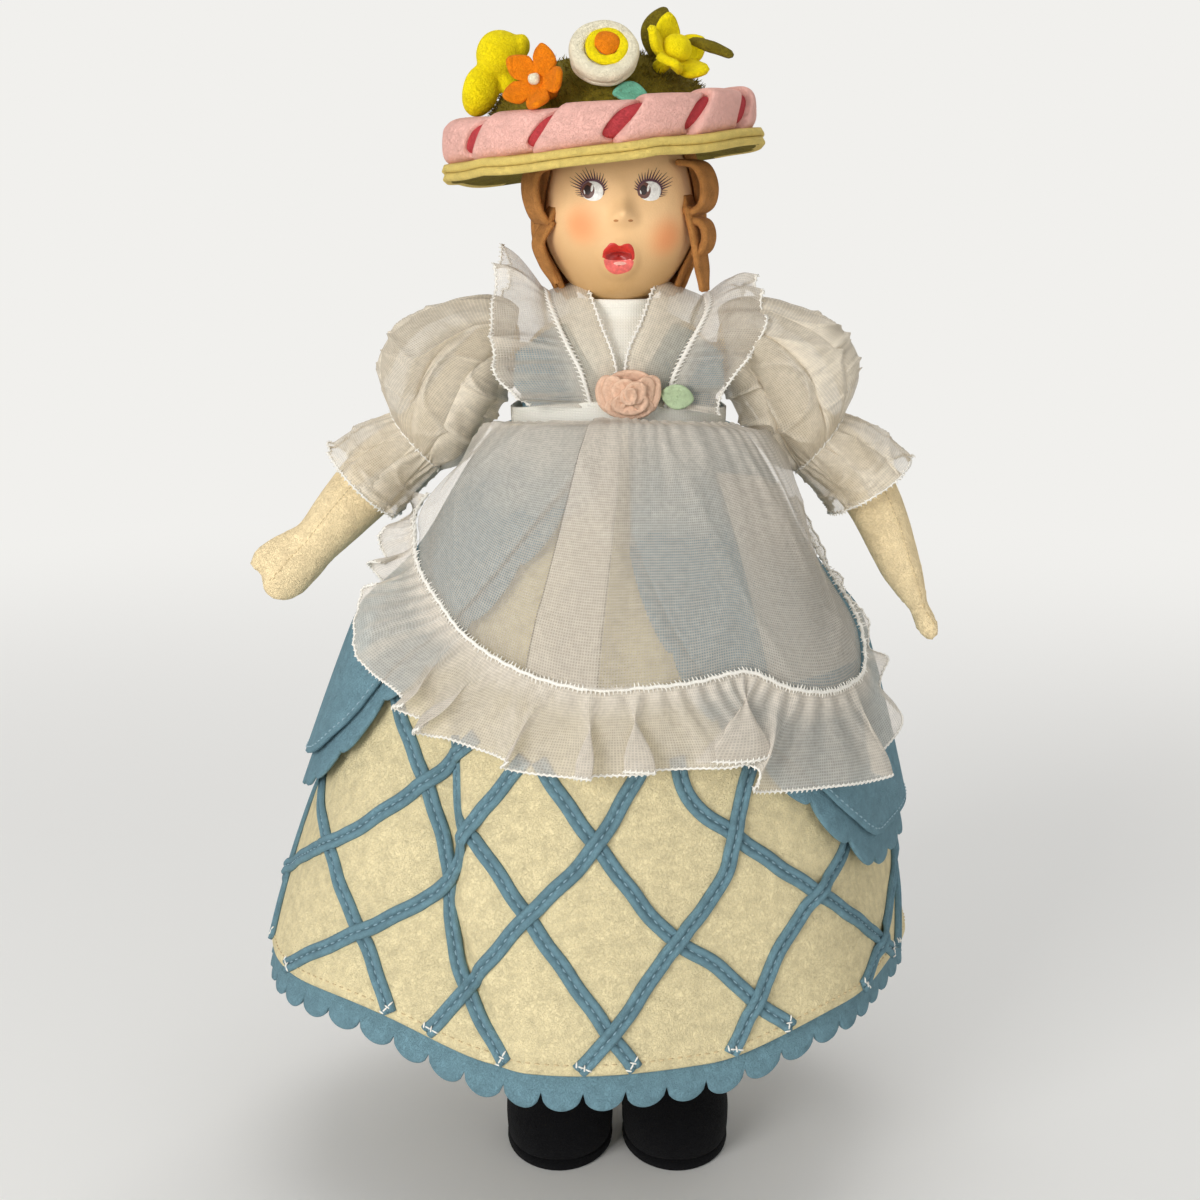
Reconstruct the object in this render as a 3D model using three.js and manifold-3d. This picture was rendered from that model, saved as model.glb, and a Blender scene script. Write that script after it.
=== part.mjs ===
// A felt doll in a bell skirt, a sheer apron and a flowered hat, standing on its two boots.
// Millimetres, +Z up. The doll faces -Y and its own left side is +X.
import * as THREE from "three";
import { mergeVertices } from "three/addons/utils/BufferGeometryUtils.js";
import Module from "manifold-3d";

const wasm = await Module();
wasm.setup();

// Clearance between pieces that touch on the doll
const GAP = 0.3;

// Cloth thicknesses
const FELT = 1.2;
const THIN_FELT = 0.9;
const ORGANDIE = 0.6;

// Heights, each measured from the joint or seam below it
const HIP_Z = 100;
const HIP_TO_WAIST = 62;
const WAIST_TO_SHOULDER = 15;
const SHOULDER_TO_NECK = 7.5;
const WAIST_Z = HIP_Z + HIP_TO_WAIST;
const SHOULDER_Z = WAIST_Z + WAIST_TO_SHOULDER;
const NECK_Z = SHOULDER_Z + SHOULDER_TO_NECK;

// Stuffed torso, half widths and half depths
const TONGUE_HALF = 8;
const SEAT_HALF = 18;
const WAIST_HALF = 19;
const CHEST_HALF = 20.5;
const TORSO_HALF_DEPTH = 14.4;
const NECK_HALF = 8.5;

// Threads and the neck peg that the limbs and head turn on
const CORD_R = 1.2;
const PEG_R = 5.5;
const PEG_RISE = 14;

// Legs and boots
const LEG_X = 12.9;
const LEG_R = 8;
const LEG_TOP_HALF = 4.3;
const BOOT_HEIGHT = 45;
const BOOT_HALF_W = 11.8;
const TOE_Y = -24;
const HEEL_Y = 11;
const INSTEP_Z = 13;
const SOLE_T = 2;

// Arms, length along the limb and droop below the horizontal in degrees
const UPPER_ARM = 43;
const RIGHT_FOREARM = 32;
const LEFT_FOREARM = 36;
const ARM_R = 6.2;
const FOREARM_R = 6.8;
const WRIST_R = 4.6;
const PALM_R = 5.6;
const POINT_R = 2.9;
const THUMB_R = 2.2;
const RIGHT_ARM_DROOP = [42, 47];
const LEFT_ARM_DROOP = [43, 65];

// Sheer sleeves, lengths along the arm
const PUFF_LENGTH = 31;
const PUFF_RISE = 11;
const PUFF_HALF_DEPTH = 13;
const FLOUNCE_LENGTH = 14;
const FLOUNCE_FLARE = 3.4;

// Bell skirt
const SKIRT_DROP = 128;
const HEM_R = 72;
const BELL_SPREAD = 21;
const SKIRT_DEPTH_SHARE = 0.86;
const SKIRT_SWING = -7.4;
const FOLD_DEPTH = 2.2;
const CREASE_DEPTH = 5;
const HEM_ABOVE_TIPS = 7.5;
const RIGHT_HEM_RISE = 9.5;
const LEFT_HEM_RISE = 6.5;
const SIDE_SINK = 7.5;

// Scalloped felt edges
const SCALLOP_COUNT = 52;
const SCALLOP_DEPTH = 3.4;
const BAND_WIDTH = 17;
const TRIM_WIDTH = 12;
const TRIM_SCALLOP_COUNT = 36;

// Lattice of felt strips on the skirt
const STRIP_WIDTH = 3.2;
const STRIP_T = 0.8;
const STRIP_LEAN = 94;

// Apron and its gathered edge
const APRON_FROM = -58;
const APRON_TO = 76;
const APRON_FRILL = 16;
const FRILL_WAVE = 1.5;
const FRILL_PLEAT_COUNT = 22;

// Straps and shoulder frills
const STRAP_WIDTH = 6.4;
const FRILL_WIDTH = 14;
const FRILL_FOLD_COUNT = 9;

// Head and hair
const HEAD_HALF_W = 15.6;
const HEAD_HALF_D = 17;
const HEAD_HALF_H = 20.5;
const HEAD_Y = -1.5;
const HEAD_LIFT = 0.7;
const HAIR_T = 2;

// Hat
const HAT_X = -3.7;
const HAT_LIFT = 12.8;
const HAT_ROLL = 6.5;
const HAT_NOD = -1;
const BRIM_R = 33;
const BRIM_T = 1.4;
const HAT_HOLE_R = 17.7;
const CROWN_R = 23.5;
const CROWN_H = 17.5;
const BAND_R = 4.4;
const BAND_PLEAT_COUNT = 12;

const doll = new THREE.Group();
doll.name = "felt_doll";

const vec = (x, y, z) => new THREE.Vector3(x, y, z);
const radians = THREE.MathUtils.degToRad;
const smooth = THREE.MathUtils.smoothstep;
const mix = THREE.MathUtils.lerp;

// Closed body from points and triangles, turned to face outwards.
function body(points, triangles) {
  let volume = 0;
  for (let i = 0; i < triangles.length; i += 3) {
    const [a, b, c] = [points[triangles[i]], points[triangles[i + 1]], points[triangles[i + 2]]];
    volume += a.dot(b.clone().cross(c));
  }
  if (volume < 0) {
    triangles.reverse();
  }
  const geometry = new THREE.BufferGeometry().setFromPoints(points);
  geometry.setIndex(triangles);
  return geometry;
}

// Two facing sheets joined along their edges: a cloth with a thickness.
function cloth(outer, inner, columns, rows, closed) {
  const points = [];
  const triangles = [];
  const across = closed ? columns : columns + 1;
  const at = (layer, i, j) => (layer * across + (i % across)) * (rows + 1) + j;
  const quad = (a, b, c, d) => triangles.push(a, b, c, a, c, d);
  for (const side of [outer, inner]) {
    for (let i = 0; i < across; i += 1) {
      for (let j = 0; j <= rows; j += 1) {
        points.push(side(i / columns, j / rows));
      }
    }
  }
  for (let i = 0; i < columns; i += 1) {
    for (let j = 0; j < rows; j += 1) {
      quad(at(0, i, j), at(0, i + 1, j), at(0, i + 1, j + 1), at(0, i, j + 1));
      quad(at(1, i, j), at(1, i, j + 1), at(1, i + 1, j + 1), at(1, i + 1, j));
    }
    quad(at(0, i + 1, 0), at(0, i, 0), at(1, i, 0), at(1, i + 1, 0));
    quad(at(0, i, rows), at(0, i + 1, rows), at(1, i + 1, rows), at(1, i, rows));
  }
  if (!closed) {
    for (let j = 0; j < rows; j += 1) {
      quad(at(0, 0, j), at(0, 0, j + 1), at(1, 0, j + 1), at(1, 0, j));
      quad(at(0, columns, j + 1), at(0, columns, j), at(1, columns, j), at(1, columns, j + 1));
    }
  }
  return body(points, triangles);
}

// Stuffed form through a row of closed rings, capped at both ends.
function loft(rings) {
  const count = rings[0].length;
  const points = rings.flat();
  const triangles = [];
  for (let j = 0; j + 1 < rings.length; j += 1) {
    for (let i = 0; i < count; i += 1) {
      const next = (i + 1) % count;
      const [a, b] = [j * count + i, j * count + next];
      triangles.push(a, b, b + count, a, b + count, a + count);
    }
  }
  const last = (rings.length - 1) * count;
  const middle = (ring) => ring.reduce((sum, p) => sum.add(p), vec(0, 0, 0)).divideScalar(count);
  points.push(middle(rings[0]), middle(rings.at(-1)));
  for (let i = 0; i < count; i += 1) {
    const next = (i + 1) % count;
    triangles.push(points.length - 2, next, i);
    triangles.push(points.length - 1, last + i, last + next);
  }
  return body(points, triangles);
}

// Ring closed both ways, such as a rolled band.
function hoop(point, columns, rows) {
  const points = [];
  const triangles = [];
  for (let i = 0; i < columns; i += 1) {
    for (let j = 0; j < rows; j += 1) {
      points.push(point(i / columns, j / rows));
      const [a, b] = [i * rows + j, ((i + 1) % columns) * rows + j];
      const [c, d] = [((i + 1) % columns) * rows + ((j + 1) % rows), i * rows + ((j + 1) % rows)];
      triangles.push(a, b, c, a, c, d);
    }
  }
  return body(points, triangles);
}

function ellipse(x, y, z, halfX, halfY, count) {
  return Array.from({ length: count }, (_, i) => {
    const turn = (i / count) * Math.PI * 2;
    return vec(x + halfX * Math.cos(turn), y + halfY * Math.sin(turn), z);
  });
}

function toSolid(geometry) {
  const bare = new THREE.BufferGeometry();
  bare.setAttribute("position", geometry.getAttribute("position"));
  bare.setIndex(geometry.getIndex());
  const merged = mergeVertices(bare, 1e-4);
  return new wasm.Manifold(new wasm.Mesh({
    numProp: 3,
    vertProperties: new Float32Array(merged.getAttribute("position").array),
    triVerts: new Uint32Array(merged.getIndex().array),
  }));
}

function toGeometry(solid) {
  const { vertProperties, triVerts } = solid.getMesh();
  const geometry = new THREE.BufferGeometry();
  geometry.setAttribute("position", new THREE.BufferAttribute(new Float32Array(vertProperties), 3));
  geometry.setIndex(Array.from(triVerts));
  return geometry;
}

function cut(geometry, ...tools) {
  return toGeometry(tools.reduce((solid, tool) => solid.subtract(toSolid(tool)), toSolid(geometry)));
}

function join(...geometries) {
  return toGeometry(geometries.map(toSolid).reduce((all, next) => all.add(next)));
}

function overlap(geometry, other) {
  return toGeometry(toSolid(geometry).intersect(toSolid(other)));
}

function add(name, geometry, colour) {
  const mesh = new THREE.Mesh(geometry, new THREE.MeshStandardMaterial({ color: colour }));
  mesh.name = name;
  doll.add(mesh);
}

// Round bar along X, centred on x, for cords and the bores they run in.
function barX(radius, length, x, y, z) {
  const bar = new THREE.CylinderGeometry(radius, radius, length, 16);
  return bar.rotateZ(Math.PI / 2).translate(x, y, z);
}

function barZ(radius, bottom, top, x, y) {
  const bar = new THREE.CylinderGeometry(radius, radius, top - bottom, 16);
  return bar.rotateX(Math.PI / 2).translate(x, y, (top + bottom) / 2);
}

function blob(halfX, halfY, halfZ, x, y, z, around = 10, over = 7) {
  const ball = new THREE.SphereGeometry(1, around, over);
  return ball.rotateX(Math.PI / 2).scale(halfX, halfY, halfZ).translate(x, y, z);
}

const COLOURS = {
  felt_blue: 0x6f9aa8, felt_cream: 0xeadcb0, felt_flesh: 0xe3b57a, felt_black: 0x17161a, felt_brown: 0xb98342,
  felt_olive: 0x7c7a2b, felt_yellow: 0xebd36a, felt_pink: 0xefb5ae, felt_orange: 0xf08a1e,
  felt_white: 0xf2ead6,
  felt_mint: 0x7fcdb5, felt_peach: 0xeda98c, felt_leaf: 0xb5cfa0, bright_yellow: 0xf2df12, cotton: 0xf1ece2,
  organdie: 0xd9d6cc, calico: 0xd9c39b, thread: 0xc9bfa5, card: 0xa98b62,
};

// Torso

const TORSO_SIDE_COUNT = 20;
const TORSO = [
  [HIP_Z - 8, TONGUE_HALF - 2, TORSO_HALF_DEPTH - 6],
  [HIP_Z - 3, TONGUE_HALF, TORSO_HALF_DEPTH - 4],
  [HIP_Z + 10, TONGUE_HALF, TORSO_HALF_DEPTH - 3.5],
  [HIP_Z + 17, SEAT_HALF - 3, TORSO_HALF_DEPTH - 1.5],
  [HIP_Z + 28, SEAT_HALF, TORSO_HALF_DEPTH],
  [WAIST_Z - 12, SEAT_HALF, TORSO_HALF_DEPTH],
  [WAIST_Z + 2, WAIST_HALF, TORSO_HALF_DEPTH],
  [SHOULDER_Z, CHEST_HALF, TORSO_HALF_DEPTH - 0.4],
  [SHOULDER_Z + 4.5, CHEST_HALF - 4, TORSO_HALF_DEPTH - 3],
  [NECK_Z, NECK_HALF, NECK_HALF - 0.5],
];

function torsoSection(z) {
  const upper = TORSO.findIndex((row) => row[0] >= z);
  if (upper <= 0) {
    return upper === 0 ? TORSO[0] : TORSO.at(-1);
  }
  const [low, high] = [TORSO[upper - 1], TORSO[upper]];
  const share = (z - low[0]) / (high[0] - low[0]);
  return low.map((value, i) => mix(value, high[i], share));
}

// Point on the torso at a height and turn from the front, moved out by an offset.
function onTorso(turn, z, out) {
  const [, halfX, halfY] = torsoSection(z);
  return vec(Math.sin(turn) * (halfX + out), -Math.cos(turn) * (halfY + out), z);
}

const shoulderCordHalf = CHEST_HALF + 7;
const hipOuter = TONGUE_HALF + GAP + 2 * LEG_TOP_HALF;

add("torso", cut(
  loft(TORSO.map(([z, halfX, halfY]) => ellipse(0, 0, z, halfX, halfY, TORSO_SIDE_COUNT))),
  barX(CORD_R + GAP, 4 * CHEST_HALF, 0, 0, SHOULDER_Z),
  barX(CORD_R + GAP, 4 * CHEST_HALF, 0, 0, HIP_Z),
), COLOURS.calico);
add("shoulder_cord", barX(CORD_R, 2 * shoulderCordHalf, 0, 0, SHOULDER_Z), COLOURS.thread);
add("hip_cord", barX(CORD_R, 2 * hipOuter + 1, 0, 0, HIP_Z), COLOURS.thread);
add("neck_peg", barZ(PEG_R, NECK_Z + GAP, NECK_Z + PEG_RISE, 0, 0), COLOURS.card);

// Bodice with a V at the front that shows the blouse

const bodiceLow = WAIST_Z + 1.2;
const bodiceHigh = SHOULDER_Z + 5.5;
const bodiceOut = GAP + THIN_FELT;
const neckApex = WAIST_Z + 7;
const neckHalf = 9;

function torsoTube(heights, from, to) {
  const rows = heights.length - 1;
  const layer = (out) => (u, v) => onTorso(u * Math.PI * 2, heights[Math.round(v * rows)], out);
  return cloth(layer(to), layer(from), TORSO_SIDE_COUNT, rows, true);
}

function vWedge(inset) {
  const wedge = new THREE.Shape([
    new THREE.Vector2(0, neckApex + inset * 2),
    new THREE.Vector2(neckHalf - inset, bodiceHigh + 3),
    new THREE.Vector2(inset - neckHalf, bodiceHigh + 3),
  ]);
  const solid = new THREE.ExtrudeGeometry(wedge, { depth: 40, bevelEnabled: false });
  return solid.rotateX(Math.PI / 2);
}

const armhole = barX(ARM_R + 3, 4 * CHEST_HALF, 0, 0, SHOULDER_Z);
const bodiceRows = [bodiceLow, WAIST_Z + 2, SHOULDER_Z, SHOULDER_Z + 4.5, bodiceHigh];
add("bodice", cut(torsoTube(bodiceRows, GAP, bodiceOut), armhole, vWedge(0)), COLOURS.felt_blue);
add("blouse_front", overlap(torsoTube(bodiceRows, GAP, GAP + ORGANDIE), vWedge(0.5)), COLOURS.cotton);

const bandIn = bodiceOut + GAP;
const bandOut = bandIn + THIN_FELT;
add("waistband", torsoTube([WAIST_Z + 0.6, WAIST_Z + 2, WAIST_Z + 5], bandIn, bandOut), COLOURS.cotton);

// Straps and shoulder frills, one path over each shoulder from front waist to back waist

function strapPath(side) {
  const lift = bodiceOut + 1.6;
  const rows = [[WAIST_Z + 7.2, 11], [SHOULDER_Z - 2.5, 19], [SHOULDER_Z + 3, 33]];
  const front = rows.map(([z, turn]) => onTorso(radians(turn), z, lift));
  const back = front.map((p) => vec(p.x, -p.y, p.z)).reverse();
  const top = [vec(12.6, -5.5, NECK_Z + 0.8), vec(12.6, 5.5, NECK_Z + 0.8)];
  const points = [...front, ...top, ...back].map((p) => vec(p.x * side, p.y, p.z));
  return new THREE.CatmullRomCurve3(points);
}

// Frame at a place along a strap: across runs outwards along the cloth, up stands off the body.
function strapFrame(path, share, side) {
  const place = path.getPointAt(share);
  const along = path.getTangentAt(share);
  const out = place.clone().sub(vec(place.x * 0.55, 0, SHOULDER_Z - 4)).normalize();
  const across = along.clone().cross(out).multiplyScalar(side).normalize();
  const up = across.clone().cross(along).multiplyScalar(side).normalize();
  return { place, across, up };
}

function strapPoint(path, share, side, sideways, high) {
  const { place, across, up } = strapFrame(path, share, side);
  return place.addScaledVector(across, sideways).addScaledVector(up, high);
}

for (const [side, word] of [[1, "left"], [-1, "right"]]) {
  const path = strapPath(side);
  const band = (high) => (u, v) => strapPoint(path, u, side, (v - 0.5) * STRAP_WIDTH, high);
  add(`${word}_strap`, cloth(band(ORGANDIE / 2), band(-ORGANDIE / 2), 16, 1, false), COLOURS.organdie);
  const frill = (high) => (u, v) => {
    const top = Math.sin(u * Math.PI) ** 2;
    const stand = radians(mix(8, 44, top));
    const width = FRILL_WIDTH * mix(0.78, 1, top) * v;
    const wave = Math.sin(u * Math.PI * 2 * FRILL_FOLD_COUNT) * FRILL_WAVE * v;
    const root = strapPoint(path, u, side, STRAP_WIDTH / 2 + GAP, high + wave + width * Math.sin(stand));
    return root.add(vec(side * width * Math.cos(stand), 0, 0));
  };
  const gathered = cloth(frill(ORGANDIE / 2), frill(-ORGANDIE / 2), FRILL_FOLD_COUNT * 3, 2, false);
  add(`${word}_shoulder_frill`, gathered, COLOURS.organdie);
}

// Skirt surface: a bell with a swing to one side, soft folds and one deep crease

const skirtTop = bandOut + WAIST_HALF + GAP;
const bell = new THREE.CubicBezierCurve(
  new THREE.Vector2(skirtTop, WAIST_Z),
  new THREE.Vector2(skirtTop + BELL_SPREAD, WAIST_Z - 8),
  new THREE.Vector2(HEM_R - 14, WAIST_Z - SKIRT_DROP + 60),
  new THREE.Vector2(HEM_R, WAIST_Z - SKIRT_DROP),
);
const bellLength = bell.getLength();

// Straight runs through a short list of [place, value] pairs
function between(rows, place) {
  const next = rows.findIndex(([end]) => end >= place);
  if (next <= 0) {
    return next === 0 ? rows[0][1] : rows.at(-1)[1];
  }
  const [[from, low], [to, high]] = [rows[next - 1], rows[next]];
  return mix(low, high, (place - from) / (to - from));
}

// The deep crease slants across the front: its turn in degrees at shares of the skirt's length
const CREASE = [[0, -38], [0.5, -37], [0.7, -30.5], [0.76, -30], [0.92, -18], [1, -15]];

// Depth of the folds at one of the seams between the skirt's flat facets
function foldShape(turn, share) {
  const growth = share ** 1.5;
  const waves = 0.6 * Math.cos(7 * turn + 0.6) + 0.4 * Math.cos(4 * turn - 1);
  const past = THREE.MathUtils.radToDeg(turn) - between(CREASE, share);
  const behind = past < 0 ? Math.exp(past / 15) : 1 - smooth(past, 0, 12);
  const deep = smooth(share, 0.33, 0.6) * (1 - 0.7 * smooth(share, 0.8, 0.97));
  return growth * FOLD_DEPTH * waves - deep * CREASE_DEPTH * behind;
}

// Depth of the folds anywhere, straight from one seam to the next
function foldAt(turn, share) {
  const facet = (Math.PI * 2) / SCALLOP_COUNT;
  const seam = Math.floor(turn / facet);
  const [here, next] = [foldShape(seam * facet, share), foldShape((seam + 1) * facet, share)];
  return mix(here, next, turn / facet - seam);
}

function skirtPoint(turn, share) {
  const angle = THREE.MathUtils.euclideanModulo(turn + Math.PI, Math.PI * 2) - Math.PI;
  const edge = bell.getPointAt(THREE.MathUtils.clamp(share, 0, 1));
  const radius = edge.x + foldAt(angle, share);
  const sink = SIDE_SINK * Math.sin(angle) ** 2 * Math.sin(Math.PI * Math.min(share * 2.6, 1));
  const swing = SKIRT_SWING * share ** 1.3;
  const sideways = Math.sin(angle);
  const hemRise = RIGHT_HEM_RISE * smooth(-sideways, 0.2, 0.8) + LEFT_HEM_RISE * smooth(sideways, 0.35, 0.75);
  const height = edge.y - sink + hemRise * share ** 2;
  return vec(swing + radius * sideways, -radius * Math.cos(angle) * SKIRT_DEPTH_SHARE, height);
}

// Point over the skirt, moved out along the smooth surface by an offset.
function onSkirt(turn, share, out) {
  const step = 0.06;
  const low = Math.max(share - 0.02, 0);
  const high = Math.min(share + 0.02, 1);
  const around = skirtPoint(turn + step, share).sub(skirtPoint(turn - step, share));
  const down = skirtPoint(turn, high).sub(skirtPoint(turn, low));
  const normal = down.cross(around).normalize();
  return skirtPoint(turn, share).addScaledVector(normal, out);
}

const shareOf = (length) => length / bellLength;
const hemShare = 1 - shareOf(HEM_ABOVE_TIPS);

// Layer offsets, from the inside of the hem band out to the apron
const bandHang = -FELT - GAP - 0.3;
const latticeIn = 0.9;
const latticeOut = latticeIn + STRIP_T + 0.4;
const trimIn = latticeOut + 0.45;
const trimOut = trimIn + THIN_FELT;
const overIn = trimOut + 0.65;
const apronIn = overIn + FELT + 1.15;

// The upper layers lie close to the skirt at the sides of the waist, where no strip or trim is under them
function lift(turn, share) {
  const frontness = smooth(Math.cos(turn), 0.35, 0.68);
  return Math.max(smooth(share, 0.15, 0.42), frontness);
}
function overSkirt(turn, share, out) {
  return onSkirt(turn, share, out - (overIn - 0.6) * (1 - lift(turn, share)));
}

// Rows lie closer together over the lower half, where the crease is
const skirtRow = (v) => (v < 3 / 7 ? (v * 7) / 6 : 0.5 + (v - 3 / 7) * 0.875);
const skirtLayer = (out) => (u, v) => onSkirt(u * Math.PI * 2, skirtRow(v) * hemShare, out);
add("skirt", cloth(skirtLayer(0), skirtLayer(-FELT), SCALLOP_COUNT, 7, true), COLOURS.felt_cream);

// Scalloped edge: 0 at the notch between scallops, 1 at the middle of each
const scallop = (place) => Math.abs(Math.sin(place * Math.PI)) ** 0.7;

const hemBand = (out) => (u, v) => {
  const tip = shareOf(SCALLOP_DEPTH) * (1 - scallop(u * SCALLOP_COUNT));
  const top = 1 - shareOf(BAND_WIDTH);
  return onSkirt(u * Math.PI * 2, mix(top, 1 - tip, v), out);
};
add("hem_band", cloth(hemBand(bandHang), hemBand(bandHang - THIN_FELT), SCALLOP_COUNT * 3, 1, true),
  COLOURS.felt_blue);

// Lattice: strips leaning one way lie over the strips leaning the other way

// Strips seen at the front, from the hem up: turn from the front in degrees, share of the skirt's length
const RISING = [
  [[-62, 0.94], [-44, 0.83], [-33, 0.745], [-25.5, 0.615], [-15, 0.5]],
  [[-108, 0.94], [-74, 0.783], [-56, 0.7], [-35, 0.56], [-26, 0.5]],
  [[-28, 0.94], [-14, 0.75], [-2, 0.64], [10, 0.51]],
  [[-1, 0.94], [13, 0.785], [24.5, 0.68], [33, 0.51]],
  [[24, 0.94], [36, 0.806], [52, 0.725], [72, 0.6]],
  [[55, 0.94], [73, 0.883], [90, 0.8], [104, 0.7]],
];
const FALLING = [
  [[-35, 0.94], [-42, 0.868], [-61, 0.727], [-76, 0.67], [-98, 0.58]],
  [[-13, 0.94], [-23, 0.86], [-30, 0.75], [-36, 0.64], [-54, 0.475]],
  [[8, 0.94], [-14, 0.713], [-24, 0.643], [-31, 0.6], [-36, 0.5]],
  [[36, 0.94], [23, 0.815], [1, 0.64], [-16, 0.49]],
  [[75, 0.94], [61, 0.858], [44.5, 0.756], [26, 0.62], [14, 0.5]],
];
const BACK_PITCH = 25.4;
const STRIP_STEP = 11;

// A strip at the back leans evenly from the hem up to under the overskirt
function backStrip(start, lean) {
  return [0, 0.09, 0.18, 0.27].map((rise) => [start + lean * STRIP_LEAN * rise, 0.94 - rise]);
}

// Felt strip along a line of places on the skirt, between two offsets from it
function strip(places, low, high) {
  const flat = places.map(([turn, share]) => vec(radians(turn) * HEM_R, share * bellLength, 0));
  const line = new THREE.CatmullRomCurve3(flat);
  const run = (out) => (u, v) => {
    const centre = line.getPointAt(u);
    const heading = line.getTangentAt(u);
    const [turn, share] = [centre.x / HEM_R, centre.y / bellLength];
    const here = skirtPoint(turn, share);
    const around = skirtPoint(turn + 0.03, share).sub(skirtPoint(turn - 0.03, share));
    const down = skirtPoint(turn, share + 0.01).sub(skirtPoint(turn, share - 0.01));
    const normal = down.cross(around).normalize();
    const next = skirtPoint(turn + (heading.x * 1.5) / HEM_R, share + (heading.y * 1.5) / bellLength);
    const across = next.sub(here).normalize().cross(normal).normalize();
    return here.addScaledVector(normal, out).addScaledVector(across, (v - 0.5) * STRIP_WIDTH);
  };
  return cloth(run(high), run(low), Math.round(line.getLength() / STRIP_STEP), 1, false);
}

const upward = [...RISING];
const downward = [...FALLING];
for (let k = 0; k < 7; k += 1) {
  upward.push(backStrip(78 + k * BACK_PITCH, 1));
}
for (let k = 0; k < 8; k += 1) {
  downward.push(backStrip(106 + k * BACK_PITCH, -1));
}
const strips = [
  ...upward.map((places) => strip(places, latticeIn + 0.4, latticeOut)),
  ...downward.map((places) => strip(places, latticeIn, latticeIn + STRIP_T)),
];
add("skirt_lattice", join(...strips), COLOURS.felt_blue);

// Overskirt, open at the front, with its scalloped trim below it

const OVER_FROM = radians(5);
const OVER_TO = radians(354);
// The lower edge from the front opening to each side: degrees from the opening, share of the skirt's length
const OVER_LEFT = [[0, 0.15], [4, 0.226], [12, 0.34], [40, 0.585], [49, 0.665], [62, 0.74], [80, 0.74]];
const OVER_RIGHT = [[0, 0.09], [7, 0.155], [31, 0.385], [50, 0.466], [60, 0.552], [74, 0.65], [90, 0.68]];
function overEdge(turn) {
  const degrees = THREE.MathUtils.radToDeg(turn);
  return degrees < 180
    ? mix(between(OVER_LEFT, degrees), 0.7, smooth(degrees, 80, 170))
    : mix(0.7, between(OVER_RIGHT, 360 - degrees), smooth(degrees, 190, 280));
}
const overTurn = (u) => mix(OVER_FROM, OVER_TO, u);
const trimShare = shareOf(TRIM_WIDTH);
const overskirt = (out) => (u, v) => {
  const turn = overTurn(u);
  const low = Math.max(overEdge(turn) - trimShare * 0.72, 0.09);
  return overSkirt(turn, mix(0.03, low, v), out);
};
add("overskirt", cloth(overskirt(overIn + FELT), overskirt(overIn), 40, 4, false), COLOURS.felt_blue);

const trim = (out) => (u, v) => {
  const turn = overTurn(u);
  const low = overEdge(turn) - shareOf(SCALLOP_DEPTH) * (1 - scallop(u * TRIM_SCALLOP_COUNT));
  return onSkirt(turn, mix(Math.max(overEdge(turn) - trimShare, 0.05), low, v), out);
};
const trimCloth = cloth(trim(trimOut), trim(trimIn), TRIM_SCALLOP_COUNT * 3, 1, false);
add("overskirt_trim", trimCloth, COLOURS.felt_blue);

// Apron with rounded corners and a gathered frill along its edge

const apronTop = 0.035;
const apronTopFrom = radians(APRON_FROM);
const apronTopTo = radians(APRON_TO);

// Sewn edge, from the waist at the right round to the waist at the left, as turn in degrees and
// share of the skirt's length
const APRON_EDGE = [
  [-60, 0.05], [-66, 0.11], [-61, 0.2], [-43, 0.3], [-31, 0.355], [-16, 0.392], [6, 0.405], [29, 0.395],
  [40, 0.43], [52, 0.451], [68, 0.452], [83, 0.43], [91, 0.34], [90, 0.2], [82, 0.06],
];
const apronRadius = bell.getPointAt(0.35).x;
const apronLine = new THREE.CatmullRomCurve3(
  APRON_EDGE.map(([turn, share]) => vec(radians(turn) * apronRadius, share * bellLength, 0)),
);
function apronEdge(share) {
  const place = apronLine.getPointAt(THREE.MathUtils.clamp(share, 0, 1));
  return { turn: place.x / apronRadius, low: place.y / bellLength };
}
const apron = (out) => (u, v) => {
  const edge = apronEdge(u);
  const turn = mix(mix(apronTopFrom, apronTopTo, u), edge.turn, v ** 0.8);
  return overSkirt(turn, mix(apronTop, edge.low, v), out);
};
add("apron", cloth(apron(apronIn + ORGANDIE), apron(apronIn), 26, 4, false), COLOURS.organdie);

const apronFrill = (high) => (u, v) => {
  const share = mix(0.075, 0.955, u);
  const edge = apronEdge(share);
  const near = [apronEdge(share - 0.02), apronEdge(share + 0.02)];
  const radius = bell.getPointAt(edge.low).x;
  const sideways = (near[1].turn - near[0].turn) * radius;
  const along = new THREE.Vector2(sideways, (near[1].low - near[0].low) * bellLength).normalize();
  const taper = mix(0.45, 1, smooth(u, 0, 0.14)) * mix(0.5, 1, smooth(1 - u, 0, 0.12));
  const reach = GAP + 0.4 + v * APRON_FRILL * taper;
  const turn = edge.turn + (-along.y * reach) / radius;
  const wave = (1 + Math.sin(u * Math.PI * 2 * FRILL_PLEAT_COUNT)) * FRILL_WAVE * v;
  return overSkirt(turn, edge.low + (along.x * reach) / bellLength, apronIn + high + wave);
};
const frillCloth = cloth(apronFrill(ORGANDIE), apronFrill(0), FRILL_PLEAT_COUNT * 3, 1, false);
add("apron_frill", frillCloth, COLOURS.organdie);

// Felt rose and leaf at the waist

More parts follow.
